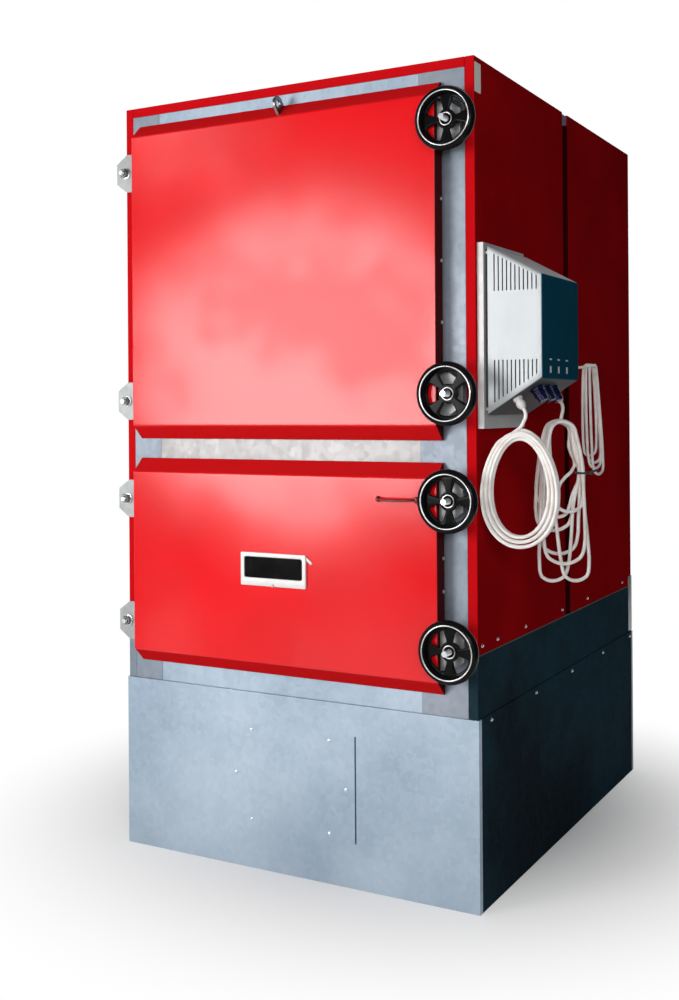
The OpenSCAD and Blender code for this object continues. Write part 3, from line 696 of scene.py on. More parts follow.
def studio():
    SCENE.view_settings.view_transform = "Standard"
    world = bpy.data.worlds.new("studio")
    world.use_nodes = True
    SCENE.world = world
    sky = Finish(world.node_tree, "Generated")
    dusk = sky.between(sky.axis("Z"), *HORIZON_FADE)
    sky.feed(world.node_tree.nodes["Background"].inputs["Color"],
             sky.mix(dusk, HORIZON_COLOUR, CEILING_COLOUR))
    for name, light in LIGHTS.items():
        soft_box(name, *light)
    for name, board in BOARDS.items():
        dark_board(name, *board)
    pale_floor()


# Cables

CABLE = 10 * MM
THIN_CABLE = 8 * MM
POINTS_A_TURN = 24

# In cable widths: a neat coil's spacing at its bottom and top, and how far turns stray sideways
NEAT_SPACING = (1.3, 0.8)
NEAT_RIPPLE = 0.06
LOOSE_WEAVE = 0.45

# How far the loose turns part at their top
LOOSE_RIPPLE = 2.5 * MM

# Mouths of the glands and the free stretches from them
MOUTH_1 = Vector((0.7082, -0.700, 1.3539))
MOUTH_2 = Vector((0.7362, -0.480, 1.3717))
MOUTH_3 = Vector((0.690, -0.390, 1.470))
LEAD_1 = ((0, 0, 0), (6, -1, -12), (6, -2, -24), (0, -4, -38), (-8, -6, -52))
LEAD_2 = ((0, 0, 0), (5, 0, -10), (6, 0, -22), (3, 0, -36), (-1, 0, -50))
LEAD_3 = ((0, -5, 0), (2, 10, 2), (8, 30, 5), (18, 50, 7), (30, 68, 6), (42, 86, 2))

# Each loose turn's reach to the left and right of the coil's middle and its drop, in mm
LOOSE_TURNS = ((-66, 70, 396), (-30, 66, 252), (-8, 90, 446), (-74, 28, 446), (-40, 30, 268),
               (-62, 60, 372), (-76, 46, 306), (-72, 2, 230))
REAR_TURNS = ((-14, 58, 322), (-24, 50, 304), (-10, 54, 288), (-22, 44, 268))

# Where the tie sits on its coil, how far its pull reaches and how much it draws the strands in
TIE_ACROSS = 66 * MM
TIE_DOWN = 148 * MM
TIE_PULL = 45 * MM
TIE_GRIP = 0.8
TIE_FLATTENS = 0.6

# The tie's strap by its half sizes, and its tail and lock by two corners each in mm
TIE_OUTER = (19 * MM, 25 * MM)
TIE_INNER = (17 * MM, 23 * MM)
TIE_CORNERS = (12 * MM, 10 * MM)
TIE_WIDE = 6 * MM
TIE_TAIL = ((15, -28, 0), (34, -25.5, 6))
TIE_TAIL_TILT = -14
TIE_LOCK = ((10, -29, -1), (19, -22, 7))


def smooth(value):
    value = min(max(value, 0), 1)
    return value * value * (3 - 2 * value)


def mixed(first, second, share):
    return first + (second - first) * share


class Coil:
    """A coil hanging in an upright plane, wound from its top down one limb and up the other."""

    def __init__(self, node, thick, turn, hand, start):
        low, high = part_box(node)
        angle = math.radians(turn)
        self.thick = thick
        self.hand = hand
        self.start = start
        self.along = Vector((math.cos(angle), math.sin(angle), 0))
        self.through = Vector((-math.sin(angle), math.cos(angle), 0))
        self.top = Vector(((low.x + high.x) / 2, (low.y + high.y) / 2, high.z - thick / 2))
        self.height = high.z - low.z - thick

    def route(self):
        count = round((self.count - self.start) * POINTS_A_TURN)
        return [self.point(self.start + step / POINTS_A_TURN) for step in range(count + 1)]

    def place(self, across, height, depth):
        return self.top + across * self.along + depth * self.through + Vector((0, 0, height))


class NeatCoil(Coil):
    """Egg-shaped turns laid side by side, inwards in one layer and outwards in the next."""

    def __init__(self, node, thick, turn, hand, start, columns, width, taper):
        super().__init__(node, thick, turn, hand, start)
        self.columns = columns
        self.count = 2 * columns
        self.half_width = (width - thick) / 2
        self.taper = taper

    def point(self, wound):
        angle = math.pi / 2 + self.hand * math.tau * wound
        rise = (1 + math.sin(angle)) / 2
        column = self.columns - abs(wound - self.columns)
        inset = column * self.thick * mixed(*NEAT_SPACING, rise)
        depth = self.thick * (smooth(wound - self.columns + 0.5) - 0.5 + NEAT_RIPPLE * math.sin(5 * wound))
        half_height = self.height / 2 - inset
        across = (self.half_width - inset) * math.cos(angle) * (1 - self.taper * math.sin(angle))
        return self.place(across, half_height * math.sin(angle) - self.height / 2, depth)


class LooseCoil(Coil):
    """Long turns that hang to different depths and lean to either side."""

    def __init__(self, node, thick, turn, hand, start, turns, top_width, depth, tied):
        super().__init__(node, thick, turn, hand, start)
        self.turns = turns
        self.count = len(turns)
        self.top_radius = (top_width - thick) / 2
        self.depth = depth
        self.tied = tied

    def point(self, wound):
        number = min(int(wound), self.count - 1)
        left, right, drop = (size * MM for size in self.turns[number])
        angle = math.pi / 2 + self.hand * math.tau * (wound - number)
        rise = smooth((math.sin(angle) + 0.7) / 1.4)
        half = (right - left) / 2
        radius = mixed(half, self.top_radius - LOOSE_RIPPLE * math.sin(3 * wound), rise)
        across = (left + right) / 2 * (1 - rise) + radius * math.cos(angle)
        height = mixed(half - drop, -self.top_radius, rise) + radius * math.sin(angle)
        depth = self.depth * (wound / self.count - 0.5)
        depth += LOOSE_WEAVE * self.thick * math.sin(7.4 * wound)
        if self.tied and across > TIE_ACROSS / 3:
            pull = TIE_GRIP * math.exp(-((height + TIE_DOWN) / TIE_PULL) ** 2)
            across = mixed(across, TIE_ACROSS, pull)
            depth = mixed(depth, TIE_FLATTENS * depth, pull)
        return self.place(across, height, depth)


def cable(name, mouth, lead, coil, stands_for, with_pieces=()):
    """A cable from its gland's mouth along its lead and round its coil, as one smooth line."""
    route = [mouth + in_mm(point) for point in lead] + coil.route()
    curve = bpy.data.curves.new(name, "CURVE")
    curve.dimensions = "3D"
    curve.bevel_depth = coil.thick / 2
    curve.bevel_resolution = 3
    curve.resolution_u = 3
    curve.use_fill_caps = True
    spline = curve.splines.new("BEZIER")
    spline.bezier_points.add(len(route) - 1)
    for knot, place in zip(spline.bezier_points, route):
        knot.co = place
        knot.handle_left_type = "AUTO"
        knot.handle_right_type = "AUTO"
    curve.materials.append(SHEATH)
    made = bpy.data.objects.new(name, curve)
    SCENE.collection.objects.link(made)
    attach(made, "boiler")
    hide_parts(*stands_for)


def cable_tie(coil):
    """A black strap round the strands on one side of a coil, with its lock and cut tail."""
    strap = ring_plate(centred(*TIE_OUTER), centred(*TIE_INNER), TIE_WIDE, *TIE_CORNERS)
    tail = softened(block(*map(in_mm, TIE_TAIL)), 0.5 * MM)
    tail = moved(tail, rotation(TIE_TAIL_TILT, "Y"))
    lock = softened(block(*map(in_mm, TIE_LOCK)), 1 * MM)
    facing = Matrix.Rotation(math.atan2(coil.along.y, coil.along.x), 4, "Z")
    place = at(coil.place(TIE_ACROSS, -TIE_DOWN, 0), facing)
    strap = moved(joined((strap, tail, lock)), place)
    return piece("cable_2_tie", strap, "boiler", TIE_PLASTIC)


def cables():
    front = NeatCoil("cable_1_coil", CABLE, turn=22, hand=1, start=0.10, columns=3, width=216 * MM,
                     taper=0.12)
    middle = LooseCoil("cable_2_coil", CABLE, turn=40, hand=1, start=0.12, turns=LOOSE_TURNS,
                       top_width=100 * MM, depth=50 * MM, tied=True)
    rear = LooseCoil("cable_3_coil", THIN_CABLE, turn=75, hand=-1, start=0.03, turns=REAR_TURNS,
                     top_width=52 * MM, depth=26 * MM, tied=False)
    cable("cable_1", MOUTH_1, LEAD_1, front, ("cable_1_coil", "cable_1_lead"))
    cable("cable_2", MOUTH_2, LEAD_2, middle, ("cable_2_coil", "cable_2_lead"), (cable_tie(middle),))
    cable("cable_3", MOUTH_3, LEAD_3, rear, ("cable_3_coil", "cable_3_lead"))


# Casing

RED_SHEETS = ("left_front_panel", "left_rear_panel", "right_front_panel", "right_rear_panel", "top_panel",
              "back_panel")
# The galvanised sheets share one finish in copies: the stiles' darker copy is painted shade, the middle
# rail's paler neutral copy is painted reflection, and the right side's dark blue copy is painted shade and
# painted reflection
ZINC_SHEETS = {
    FRONT_ZINC: ("plinth_front", "frame_top_rail", "frame_bottom_rail"),
    SHADED_STILE_ZINC: ("frame_left_stile", "frame_right_stile"),
    LIT_RAIL_ZINC: ("frame_middle_rail",),
    SIDE_ZINC: ("plinth_left", "plinth_back", "band_left", "band_back"),
    PAINTED_SHADE_ZINC: ("plinth_right", "band_right"),
}

# Screws: the washer's outline and the head's radius, low, high and sides, in mm, then their places
SCREW_WASHER = ((0, 0), (5.2, 0), (5.2, 0.5), (4.2, 1.1), (0, 1.1))
SCREW_HEAD = (4, 1, 3.8, 6)
PLINTH_CIRCLE = 187 * MM
PLINTH_CIRCLE_Z = 276 * MM
PLINTH_CIRCLE_ANGLES = (0, 45, 135, 180, 225, 315)
BAND_SCREW_Z = 715 * MM
BAND_SCREW_Y = (-0.710, -0.600, -0.380, -0.050, 0.210, 0.620)
SEAM_SCREW_Z = 505 * MM
SEAM_SCREW_Y = (-0.658, -0.304, 0.031, 0.366, 0.700)
BACK_SCREW_X = (-0.52, -0.26, 0, 0.26, 0.52)
BACK_SCREW_Z = (BAND_SCREW_Z, 1.5, CASING_TOP - 50 * MM)
TOP_SCREW_X = (-0.54, 0.54)
TOP_SCREW_Y = (-0.68, -0.34, 0, 0.34, 0.68)

# Seal over the band, clips and near-black strips of painted shade in the side grooves, angles on the rear
# corners and the blank label
SEAL_PROUD = 0.6 * MM
SEAL_HALF = 1.5 * MM
SEAL_IN = 2 * MM
BACK_SEAL_HALF = 560 * MM
GROOVE_SHADE_BACK = 15 * MM
GROOVE_SHADE_WIDE = 5 * MM
GROOVE_SHADE_GAP = 0.3 * MM
CLIP_BACK = 24 * MM
CLIP_GAP = 3 * MM
CLIP_TOP = 4 * MM
CLIP_BOTTOM = 34 * MM
ANGLE_LEG = 40 * MM
ANGLE_SHEET = 2 * MM
ANGLE_OVER = 36 * MM
LABEL_HALF = (40 * MM, 21 * MM)
LABEL_PLACE = (CASING_HALF, CASING_FRONT + 24 * MM, 2.244)


def screw():
    """A hexagon screw with its washer face, standing on z = 0."""
    return joined((turned(SCREW_WASHER, 16), softened(rod(*SCREW_HEAD), 0.5 * MM)))


def screws(name, places, body="boiler"):
    piece(name, joined([moved(screw(), place) for place in places]), body, ZINC)


def casing():
    # The red sheets take the darker copy of the red paint: painted shade
    for node in RED_SHEETS:
        dressed(node, FOLD_RADIUS, "boiler", SHADED_CASING_PAINT)
    for material, nodes in ZINC_SHEETS.items():
        for node in nodes:
            dressed(node, EDGE_RADIUS, "boiler", material)


def casing_screws():
    places = []
    for degrees in PLINTH_CIRCLE_ANGLES:
        angle = math.radians(degrees)
        x = PLINTH_CIRCLE * math.cos(angle)
        z = PLINTH_CIRCLE_Z + PLINTH_CIRCLE * math.sin(angle)
        places.append(at((x, PLINTH_LOW.y, z), FRONT))
    for side, facing in ((1, RIGHT), (-1, LEFT)):
        places += [at((side * CASING_HALF, y, BAND_SCREW_Z), facing) for y in BAND_SCREW_Y]
        places += [at((side * PLINTH_HIGH.x, y, SEAM_SCREW_Z), facing) for y in SEAM_SCREW_Y]
    for x in BACK_SCREW_X:
        places += [at((x, CASING_BACK, z), BACK) for z in BACK_SCREW_Z]
        places.append(at((x, PLINTH_HIGH.y, SEAM_SCREW_Z), BACK))
    for x in TOP_SCREW_X:
        places += [at((x, y, CASING_TOP)) for y in TOP_SCREW_Y]
    screws("casing_screws", places)


def seams():
    """The dull sealing line between red sheets and band, and the strips down the side grooves."""
    low_z, high_z = PANEL_LOW.z - SEAL_HALF, PANEL_LOW.z + SEAL_HALF
    parts = [side_block(side, CASING_HALF - SEAL_IN, CASING_HALF + SEAL_PROUD,
                        (CASING_FRONT + SEAL_IN, low_z), (CASING_BACK - SEAL_IN, high_z))
             for side in (1, -1)]
    parts.append(block((-BACK_SEAL_HALF, CASING_BACK - SEAL_IN, low_z),
                       (BACK_SEAL_HALF, CASING_BACK + SEAL_PROUD, high_z)))
    piece("band_seal", joined(parts), "boiler", SEAM_BROWN)
    dressed("seam_strips", EDGE_RADIUS, "boiler", SEAM_BROWN)


def groove_trim():
    """A clip at the top of each side groove and a near-black red strip down its rear edge, painted shade."""
    low_y, high_y = (corner.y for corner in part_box("seam_strips"))
    clips = []
    shade_strips = []
    for side in (1, -1):
        shade_strip = side_block(side, CASING_HALF - GROOVE_SHADE_BACK, CASING_HALF - 0.5 * MM,
                          (high_y - GROOVE_SHADE_WIDE, PANEL_LOW.z + SEAL_IN),
                          (high_y - GROOVE_SHADE_GAP, CASING_TOP - CLIP_BOTTOM - 2 * MM))
        shade_strips.append(softened(shade_strip, 0.5 * MM))
        clip = side_block(side, CASING_HALF - CLIP_BACK, CASING_HALF - CLIP_GAP,
                          (low_y + CLIP_GAP, CASING_TOP - CLIP_BOTTOM),
                          (high_y - CLIP_GAP, CASING_TOP - CLIP_TOP))
        clips.append(softened(clip, EDGE_RADIUS))
    piece("groove_clips", joined(clips), "boiler", FRONT_ZINC)
    # Near-black red strips in the grooves: painted shade
    piece("groove_shade_strips", joined(shade_strips), "boiler", GROOVE_SHADE_PAINT)


def corner_angles():
    """Folded galvanised angles up the rear corners, from the plinth to the top of the band."""
    bottom, top = BAND_LOW + 4 * MM, PANEL_LOW.z + ANGLE_OVER
    legs = []
    for side in (1, -1):
        for low_y, inner in ((CASING_BACK - ANGLE_LEG, CASING_HALF), (CASING_BACK, CASING_HALF - ANGLE_LEG)):
            leg = side_block(side, inner, CASING_HALF + ANGLE_SHEET, (low_y, bottom),
                             (CASING_BACK + ANGLE_SHEET, top))
            legs.append(softened(leg, 0.6 * MM))
    piece("corner_angles", joined(legs), "boiler", LUG_ZINC)


def label():
    """A blank label near the top front corner of the right side."""
    sheet = moved(plate(*LABEL_HALF, 3 * MM, 0.5 * MM), at(LABEL_PLACE, RIGHT))
    piece("side_label", sheet, "boiler", PAPER)


# Doors

DOOR_FLANGE_Y = -752 * MM
DOOR_SCREW_Z = {
    "exchanger_door": (1.421, 1.588, 1.755, 1.922, 2.089),
    "furnace_door": (0.680, 0.770, 0.860, 0.950),
}

# The frame's mouth behind each door, by two (x, z) corners, and the rope that seals it
MOUTH_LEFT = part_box("frame_left_stile")[1].x
MOUTH_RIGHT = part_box("frame_right_stile")[0].x
MIDDLE_RAIL_LOW, MIDDLE_RAIL_HIGH = (corner.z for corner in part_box("frame_middle_rail"))
MOUTHS = {
    "exchanger_door": ((MOUTH_LEFT, MIDDLE_RAIL_HIGH), (MOUTH_RIGHT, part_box("frame_top_rail")[0].z)),
    "furnace_door": ((MOUTH_LEFT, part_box("frame_bottom_rail")[1].z), (MOUTH_RIGHT, MIDDLE_RAIL_LOW)),
}
ROPE_IN = 12 * MM
ROPE_WIDE = 22 * MM
ROPE_THICK = 4.2 * MM
ROPE_STAND = 4.3 * MM
ROPE_CORNERS = (12 * MM, 6 * MM)

# Hinge studs, with outlines and thread as radius and height over the lug, in mm
HINGE_STUD_OUT = 34 * MM
HINGE_HALF = 20 * MM
HINGE_WASHER = ((9, 0.2), (17, 0.2), (17, 3.1), (16, 3.6), (9, 3.6))
HINGE_NUT = ((8, 3.6), (13.4, 3.6), (14.8, 5), (14.8, 14.6), (12.6, 16.6), (8, 16.6))
HINGE_THREAD = (8.3, 16, 25.5)

# Sight window: the frame, then its tab by two corners, and its bead, in mm
WINDOW_WIDE = 220 * MM
WINDOW_THICK = 8 * MM
WINDOW_CORNERS = (3 * MM, 7 * MM)
WINDOW_TAB = ((-4, -4, -4), (30, 0, 4))
WINDOW_TAB_IN = 6 * MM
WINDOW_TAB_TILT = 38
WINDOW_BEAD = 4.5

# Pull handle: a foot's outline and the ball's radius, in mm, and the ball's place
HANDLE_FOOT = ((0, 0), (9, 0), (9, 1.5), (7, 3), (5, 6), (0, 7))
HANDLE_BALL = 6.5
HANDLE_BALL_IN = 4 * MM
HANDLE_BALL_OUT = 12 * MM


def door_sheet(body):
    """A door's folded sheet, bevelled along its top and bottom and open behind."""
    low, high = DOORS[body]
    bm = block(low, high)
    bm.normal_update()
    back = [face for face in bm.faces if face.normal.y > 0.9]
    bmesh.ops.delete(bm, geom=back, context="FACES_ONLY")
    level = [edge for edge in bm.edges if all(vert.co.y < low.y + MERGE for vert in edge.verts)
             and abs(edge.verts[0].co.z - edge.verts[1].co.z) < MERGE]
    return softened(bevelled(bm, level, DOOR_BEVEL, 1), FOLD_RADIUS, 3)


def cut_window(bm):
    """Cuts the sight window's opening through a door's front."""
    low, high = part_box("window_glass")
    cuts = ((low, (1, 0, 0)), (high, (1, 0, 0)), (low, (0, 0, 1)), (high, (0, 0, 1)))
    for place, normal in cuts:
        bmesh.ops.bisect_plane(bm, geom=bm.verts[:] + bm.edges[:] + bm.faces[:], dist=MERGE,
                               plane_co=place, plane_no=normal)
    bm.normal_update()
    hole = []
    for face in bm.faces:
        middle = face.calc_center_median()
        if low.x < middle.x < high.x and low.z < middle.z < high.z and face.normal.y < -0.9:
            hole.append(face)
    bmesh.ops.delete(bm, geom=hole, context="FACES")
    return bm


def door(body):
    """One door: sheet, lugs, the sealing rope behind and flange screws."""
    low, high = DOORS[body]
    bm = door_sheet(body)
    if body == "furnace_door":
        cut_window(bm)
    sheet = piece(body + "_sheet", bm, body, DOOR_PAINT, (body + "_skin",))
    sheet_metal(sheet, DOOR_SHEET)
    flat_faces(sheet)
    dressed(body + "_lugs", EDGE_RADIUS, body, LUG_ZINC)

    inner = spread(*MOUTHS[body], ROPE_IN)
    rope = ring_plate(spread(*inner, ROPE_WIDE), inner, ROPE_THICK, *ROPE_CORNERS)
    rope = moved(softened(rope, 1.2 * MM), at((0, high.y + ROPE_STAND, 0), FRONT))
    piece(body + "_rope", rope, body, ROPE)

    flange = [at((x, DOOR_FLANGE_Y, z), facing) for x, facing in ((high.x, RIGHT), (low.x, LEFT))
              for z in DOOR_SCREW_Z[body]]
    screws(body + "_screws", flange, body)


def hinges(body):
    """Hinge leaves with rounded edges, and over each stud a chamfered nut, washer and thread."""
    node = body + "_hinges"
    dressed(node, 0.5 * MM, body, LUG_ZINC)
    low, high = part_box(node)
    stud_x = DOORS[body][0].x - HINGE_STUD_OUT
    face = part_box(body + "_lugs")[0].y
    washers = []
    nuts = []
    for z in (low.z + HINGE_HALF, high.z - HINGE_HALF):
        place = at((stud_x, face, z), FRONT)
        washers += [moved(turned(HINGE_WASHER), place), moved(thread(*HINGE_THREAD), place)]
        nuts.append(moved(turned(HINGE_NUT, 6), place))
    piece(body + "_hinge_washers", joined(washers), body, ZINC)
    # The nuts take the darker plated copy: painted shade
    piece(body + "_hinge_nuts", joined(nuts), body, SHADED_ZINC)


def sight_window():
    """A frame with round inner corners, a deep sill, a small ball under it and a turn-button tab."""
    low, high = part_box("window_frame")
    glass_low, glass_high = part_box("window_glass")
    right = low.x + WINDOW_WIDE
    ring = ring_plate(((low.x, low.z), (right, high.z)), spread(glass_low.xz, glass_high.xz, 0.5 * MM),
                      WINDOW_THICK, *WINDOW_CORNERS)
    ring = moved(softened(ring, 1.4 * MM), at((0, high.y, 0), FRONT))
    tab = softened(block(*map(in_mm, WINDOW_TAB)), 1.2 * MM)
    tab_place = (right - WINDOW_TAB_IN, high.y, high.z - WINDOW_TAB_IN)
    tab = moved(tab, at(tab_place, rotation(WINDOW_TAB_TILT, "Y")))
    bead = moved(ball(WINDOW_BEAD), at(((low.x + right) / 2, low.y - 1 * MM, low.z + 3 * MM)))
    piece("sight_window_frame", joined((ring, tab, bead)), "furnace_door", LIT_PLATE_ZINC,
          ("window_frame",))


def pull_handle():
    """A bowed pull handle with a round foot at each end and a ball at its left."""
    low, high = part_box("pull_handle")
    thick = high.z - low.z
    level = (low.z + high.z) / 2
    chord = high.x - low.x - thick
    rise = high.y - low.y - thick / 2
    radius = (chord ** 2 / 4 + rise ** 2) / (2 * rise)
    half = math.asin(chord / 2 / radius)
    bow = bmesh.new()
    start = Matrix.Rotation(-math.pi / 2 - half, 4, "Z") @ at((radius, 0, 0), FRONT)
    bmesh.ops.create_circle(bow, cap_ends=True, segments=12, radius=thick / 2, matrix=start)
    bmesh.ops.spin(bow, geom=bow.verts[:] + bow.edges[:] + bow.faces[:], cent=(0, 0, 0), axis=(0, 0, 1),
                   angle=2 * half, steps=24)
    bmesh.ops.holes_fill(bow, edges=bow.edges[:])
    bmesh.ops.recalc_face_normals(bow, faces=bow.faces[:])
    parts = [moved(bow, at(((low.x + high.x) / 2, low.y + thick / 2 + radius, level)))]
    for x in (low.x + thick / 2, high.x - thick / 2):
        parts.append(moved(turned(HANDLE_FOOT, 20), at((x, high.y, level), FRONT)))
    ball_place = (low.x + thick / 2 + HANDLE_BALL_IN, high.y - HANDLE_BALL_OUT, level)
    parts.append(moved(ball(HANDLE_BALL), at(ball_place)))
    piece("door_pull", joined(parts), "furnace_door", HANDLE_PAINT, ("pull_handle",))


# Handwheels, with heights taken from the casing's front and bare sizes in mm

WHEEL_TURNS = (0, 45, 0, 0)

# Ovals by their middle's radius and height and their half width and height
RIM = (76, 72, 10, 15)
# Bright rings on the rim's lip and the hub's edge: painted highlights
RIM_HIGHLIGHT = (72.5, 85.6, 1.9, 1.5)
HUB_HIGHLIGHT = (16.6, 68.2, 1.6, 1.1)
HUB = ((0, 35.5), (20, 35.5), (20, 63), (18.6, 66.5), (16.6, 68), (15, 67), (14, 64.5), (0, 64.5))

# The web's rings of faces, and where its windows are
WEB_RADII = (16, 22, 27, 35, 44, 52, 59, 72)
WEB_WINDOW = (27 * MM, 59 * MM)
WEB_SPOKE = math.radians(15)
WEB_STEPS = 40
WEB_OUT = 56 * MM
WEB_THICK = 10 * MM

# The stud's radius, its back end, the start of its thread and its front end
STUD_RADIUS = 8
STUD_BACK = -28
STUD_THREAD = 65
STUD_END = 99


def oval(radius, height, half_wide, half_tall, steps=16):
    """A closed oval outline about a middle, ready to be turned into a ring."""
    angles = [math.tau * step / steps for step in range(steps + 1)]
    return [(radius + half_wide * math.cos(angle), height + half_tall * math.sin(angle)) for angle in angles]


def wheel_web():
    """A disc with four round-cornered windows, which leave four broad spokes."""
    bm = turned([(radius, 0) for radius in WEB_RADII], WEB_STEPS)
    quarter = math.pi / 2
    windows = []
    for face in bm.faces:
        middle = face.calc_center_median()
        off_spoke = abs((math.atan2(middle.y, middle.x) + quarter / 2) % quarter - quarter / 2)
        if WEB_WINDOW[0] < middle.length < WEB_WINDOW[1] and off_spoke > WEB_SPOKE:
            windows.append(face)
    bmesh.ops.delete(bm, geom=windows, context="FACES")
    return thickened(bm, WEB_THICK)


def handwheel(number):
    """A black moulded wheel with bright metal rings on its rim and hub as painted highlights, and its
    threaded stud.
    """
    body = f"wheel_{number}"
    low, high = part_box(f"handwheel_{number}")
    place = at(((low.x + high.x) / 2, CASING_FRONT, (low.z + high.z) / 2), FRONT)
    place = place @ rotation(WHEEL_TURNS[number - 1], "Z")
    web = moved(wheel_web(), place @ at((0, 0, WEB_OUT)))
    web = piece(body + "_web", web, body, WHEEL_BLACK)
    rounding = web.modifiers.new("rounding", "SUBSURF")
    rounding.levels = 2
    rounding.render_levels = 2
    rim = moved(joined((turned(oval(*RIM), 48), turned(HUB))), place)
    piece(body + "_rim", rim, body, WHEEL_BLACK, (f"handwheel_{number}",))
    # Thin bright rings on the rim's lip and the hub's edge: painted highlights
    rings = joined((turned(oval(*RIM_HIGHLIGHT, 10), 64), turned(oval(*HUB_HIGHLIGHT, 8))))
    piece(body + "_highlight_rings", moved(rings, place), body, HIGHLIGHT_METAL)
    stud = joined((rod(STUD_RADIUS, STUD_BACK, STUD_THREAD + 1), thread(STUD_RADIUS, STUD_THREAD, STUD_END)))
    piece(body + "_stud", moved(stud, place), body, ZINC)


# Control box

COVER_FOLD = 4 * MM
COVER_SHEET = 1.5 * MM
SLOTS = 11
SLOT_FIRST = 0.637
SLOT_PITCH = 11.75 * MM
SLOT_WIDE = 3.4 * MM
SLOT_UPPER = 1.667
SLOT_LOWER = 1.483
SLOT_TOP_EDGE = 11 * MM
SLOT_LOW_EDGE = 18 * MM
BOX_SCREW_IN = 8 * MM
CONNECTOR_X = 0.730
CONNECTOR_Z = 1.408
CONNECTOR_Y = (-0.660, -0.600, -0.540)

# Blank marks on the cover's face: their places across, and each row's height and half sizes
MARK_Y = (-0.662, -0.597, -0.529)
MARK_ROWS = ((1.484, 2 * MM, 9 * MM), (1.457, 9 * MM, 6 * MM))

# A gland's base by radius, low, high and sides, and outlines of its cap and of a connector, in mm
GLAND_BASE = (14, -34, -25, 6)
GLAND_CAP = ((9, -26), (10.4, -25), (10.4, -21), (12.6, -20), (12.6, -11), (11.6, -8), (9.4, -3), (7.6, 0),
             (5.2, 0), (5.2, -4))
CONNECTOR_FOOT = ((0, 0), (19, 0), (19, 4), (16.5, 7))
CONNECTOR_RIBS = tuple((17.6 - 1.4 * (step % 2), 10 + 2 * step) for step in range(8))
CONNECTOR_TOP = ((14.5, 27), (14.5, 36), (12.5, 40), (0, 40))


def cover_shell():
    """The cover's folded sheet: sloped above and below, open towards the wall."""
    low, high = COVER_LOW, COVER_HIGH
    bm = bmesh.new()
    corners = ((low.x, low.z), (high.x, COVER_FRONT_LOW), (high.x, COVER_FRONT_HIGH), (low.x, high.z))
    bm.faces.new([bm.verts.new((x, -z, 0)) for x, z in corners])
    bm = moved(thickened(bm, high.y - low.y), at((0, low.y, 0), BACK))
    bm.normal_update()
    wall_side = [face for face in bm.faces if face.normal.x < -0.9]
    bmesh.ops.delete(bm, geom=wall_side, context="FACES_ONLY")
    return softened(bm, COVER_FOLD, 3)


def cut_slots(bm):
    """Cuts two rows of upright slots, which follow the sloped edges, through the cover's front end."""
    top_slope = Vector((COVER_HIGH.z - COVER_FRONT_HIGH, 0, COVER_HIGH.x - COVER_LOW.x)).normalized()
    top_place = Vector((COVER_HIGH.x, 0, COVER_FRONT_HIGH)) - SLOT_TOP_EDGE * top_slope
    low_place = Vector((COVER_HIGH.x, 0, COVER_FRONT_LOW)) - SLOT_LOW_EDGE * UNDER_AXIS
    middles = [SLOT_FIRST + SLOT_PITCH * number for number in range(SLOTS)]
    cuts = [((0, 0, SLOT_UPPER), (0, 0, 1)), ((0, 0, SLOT_LOWER), (0, 0, 1)),
            (top_place, top_slope), (low_place, UNDER_AXIS)]
    for middle in middles:
        cuts += [((middle + side * SLOT_WIDE / 2, 0, 0), (1, 0, 0)) for side in (-1, 1)]
    for place, normal in cuts:
        faces = [face for face in bm.faces if face.normal.y < -0.99]
        edges = {edge for face in faces for edge in face.edges}
        verts = {vert for face in faces for vert in face.verts}
        bmesh.ops.bisect_plane(bm, geom=faces + list(edges) + list(verts), dist=MERGE,
                               plane_co=place, plane_no=normal)
        bm.normal_update()
    slots = []
    for face in bm.faces:
        middle = face.calc_center_median()
        inside = (middle - top_place).dot(top_slope) < 0 and (middle - low_place).dot(UNDER_AXIS) < 0
        in_row = middle.z > SLOT_UPPER or middle.z < SLOT_LOWER
        in_slot = any(abs(middle.x - slot) < SLOT_WIDE / 2 for slot in middles)
        if face.normal.y < -0.99 and inside and in_row and in_slot:
            slots.append(face)
    bmesh.ops.delete(bm, geom=slots, context="FACES")
    return bm


def gland():
    """A hexagon base and a domed cap that grips the cable; its mouth is at z = 0."""
    return joined((softened(rod(*GLAND_BASE), 0.8 * MM), turned(GLAND_CAP, 24)))


def connector():
    """A round blue connector with a grip of ribs, standing on z = 0."""
    return turned(CONNECTOR_FOOT + CONNECTOR_RIBS + CONNECTOR_TOP)


def control_box():
    cover = piece("control_box_cover", cut_slots(cover_shell()), "boiler", COVER_STEEL,
                  ("control_cover",))
    sheet_metal(cover, COVER_SHEET)
    flat_faces(cover)
    # The back plate takes the paler copy of the zinc: painted light
    dressed("control_back_plate", EDGE_RADIUS, "boiler", LIT_PLATE_ZINC)
    low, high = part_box("control_joint")
    x = (low.x + high.x) / 2
    places = []
    for z in (low.z + BOX_SCREW_IN, high.z - BOX_SCREW_IN):
        places += [at((x, low.y, z), FRONT), at((x, high.y, z), BACK)]
    screws("control_box_screws", places)
    under = UNDER_AXIS.to_track_quat("Z", "Y").to_matrix().to_4x4()
    mouths = ((MOUTH_1, under), (MOUTH_2, under), (MOUTH_3, BACK))
    glands = [moved(gland(), at(*mouth)) for mouth in mouths]
    piece("gland_bodies", joined(glands), "boiler", PALE_PLASTIC, ("cable_glands",))
    plugs = [moved(connector(), at((CONNECTOR_X, y, CONNECTOR_Z), under)) for y in CONNECTOR_Y]
    piece("connector_bodies", joined(plugs), "boiler", BLUE_PLASTIC, ("control_connectors",))
    marks = [moved(plate(half_high, half_wide, 1 * MM, 0.6 * MM), at((COVER_HIGH.x, y, z), RIGHT))
             for y in MARK_Y for z, half_high, half_wide in MARK_ROWS]
    piece("blank_marks", joined(marks), "boiler", PALE_PLASTIC)


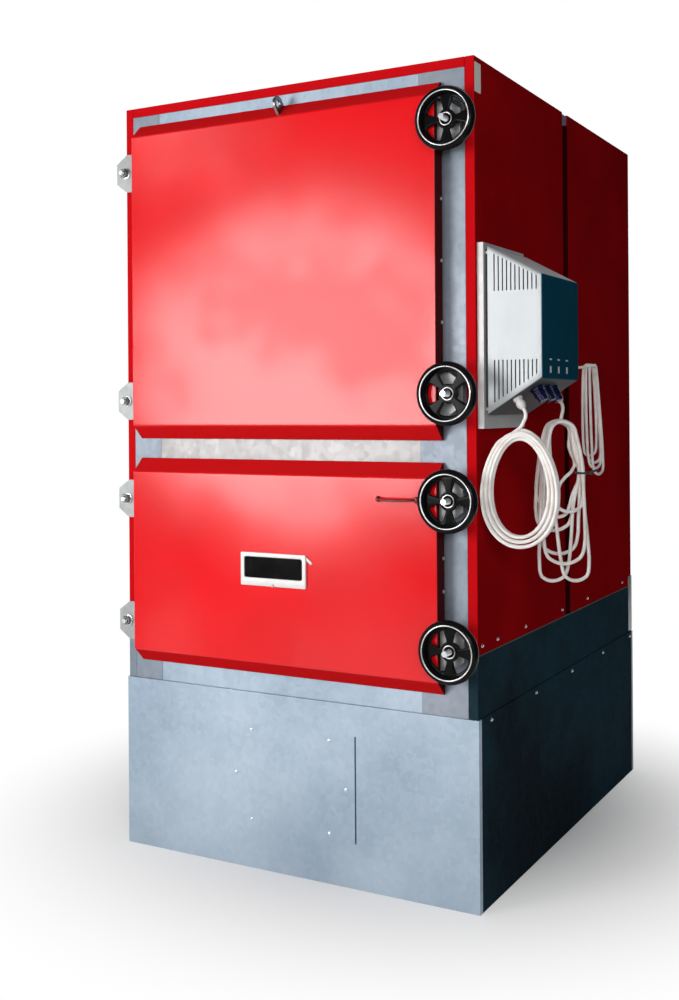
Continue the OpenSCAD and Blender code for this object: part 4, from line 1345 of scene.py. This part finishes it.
# Behind the doors, with the outlines of a tube's end and of the black disc across its bore, soot and painted
# shade, in mm

TUBE_PITCH = 95 * MM
TUBE_COLUMNS = 9
TUBE_ROWS = 8
TUBE_END = ((25, -1), (25, 6), (26, 7), (30, 7), (31, 6), (31, -1))
TUBE_BORE_SHADE = ((0, 0.4), (25.5, 0.4))


def tube_mouths():
    """Rows of tube ends, expanded into the tube plate, each closed by a black disc: soot and painted shade
    of the hollow tube.
    """
    low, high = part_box("tube_plate")
    middle = (low + high) / 2
    rings = []
    bore_shades = []
    for column in range(TUBE_COLUMNS):
        for row in range(TUBE_ROWS):
            x = middle.x + (column - (TUBE_COLUMNS - 1) / 2) * TUBE_PITCH
            z = middle.z + (row - (TUBE_ROWS - 1) / 2) * TUBE_PITCH
            place = at((x, low.y, z), FRONT)
            rings.append(moved(turned(TUBE_END, 20), place))
            bore_shades.append(moved(turned(TUBE_BORE_SHADE, 20), place))
    piece("tube_ends", joined(rings), "boiler", SOOT)
    piece("tube_bore_shades", joined(bore_shades), "boiler", BORE_SHADE)


def dress_solids():
    """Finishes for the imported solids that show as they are."""
    finishes = {
        SEAL_BLACK: ("control_joint",),
        ZINC: ("clamp_sockets",),
        SIDE_ZINC: ("base_plate",),
        CASTABLE: ("exchanger_door_fill", "furnace_door_fill"),
        LINING_FLAT: ("furnace_floor", "furnace_roof"),
        LINING_SIDE: ("furnace_side_walls",),
        LINING_END: ("furnace_back_wall",),
        SOOT: ("smoke_side_plates", "smoke_floor_and_roof", "tube_plate"),
        GLASS: ("window_glass",),
    }
    for material, nodes in finishes.items():
        for node in nodes:
            slots = NODES[node].data.materials
            slots.clear()
            slots.append(material)


photo_camera()
studio()
cables()
casing()
casing_screws()
seams()
groove_trim()
corner_angles()
label()
for body in DOORS:
    door(body)
    hinges(body)
dressed("hinge_brackets", 0.6 * MM, "boiler", LUG_ZINC)
# The lifting eye takes the darker plated copy: painted shade
dressed("lifting_eye", EDGE_RADIUS, "exchanger_door", SHADED_ZINC)
sight_window()
pull_handle()
for number in range(1, 5):
    handwheel(number)
control_box()
tube_mouths()
dress_solids()
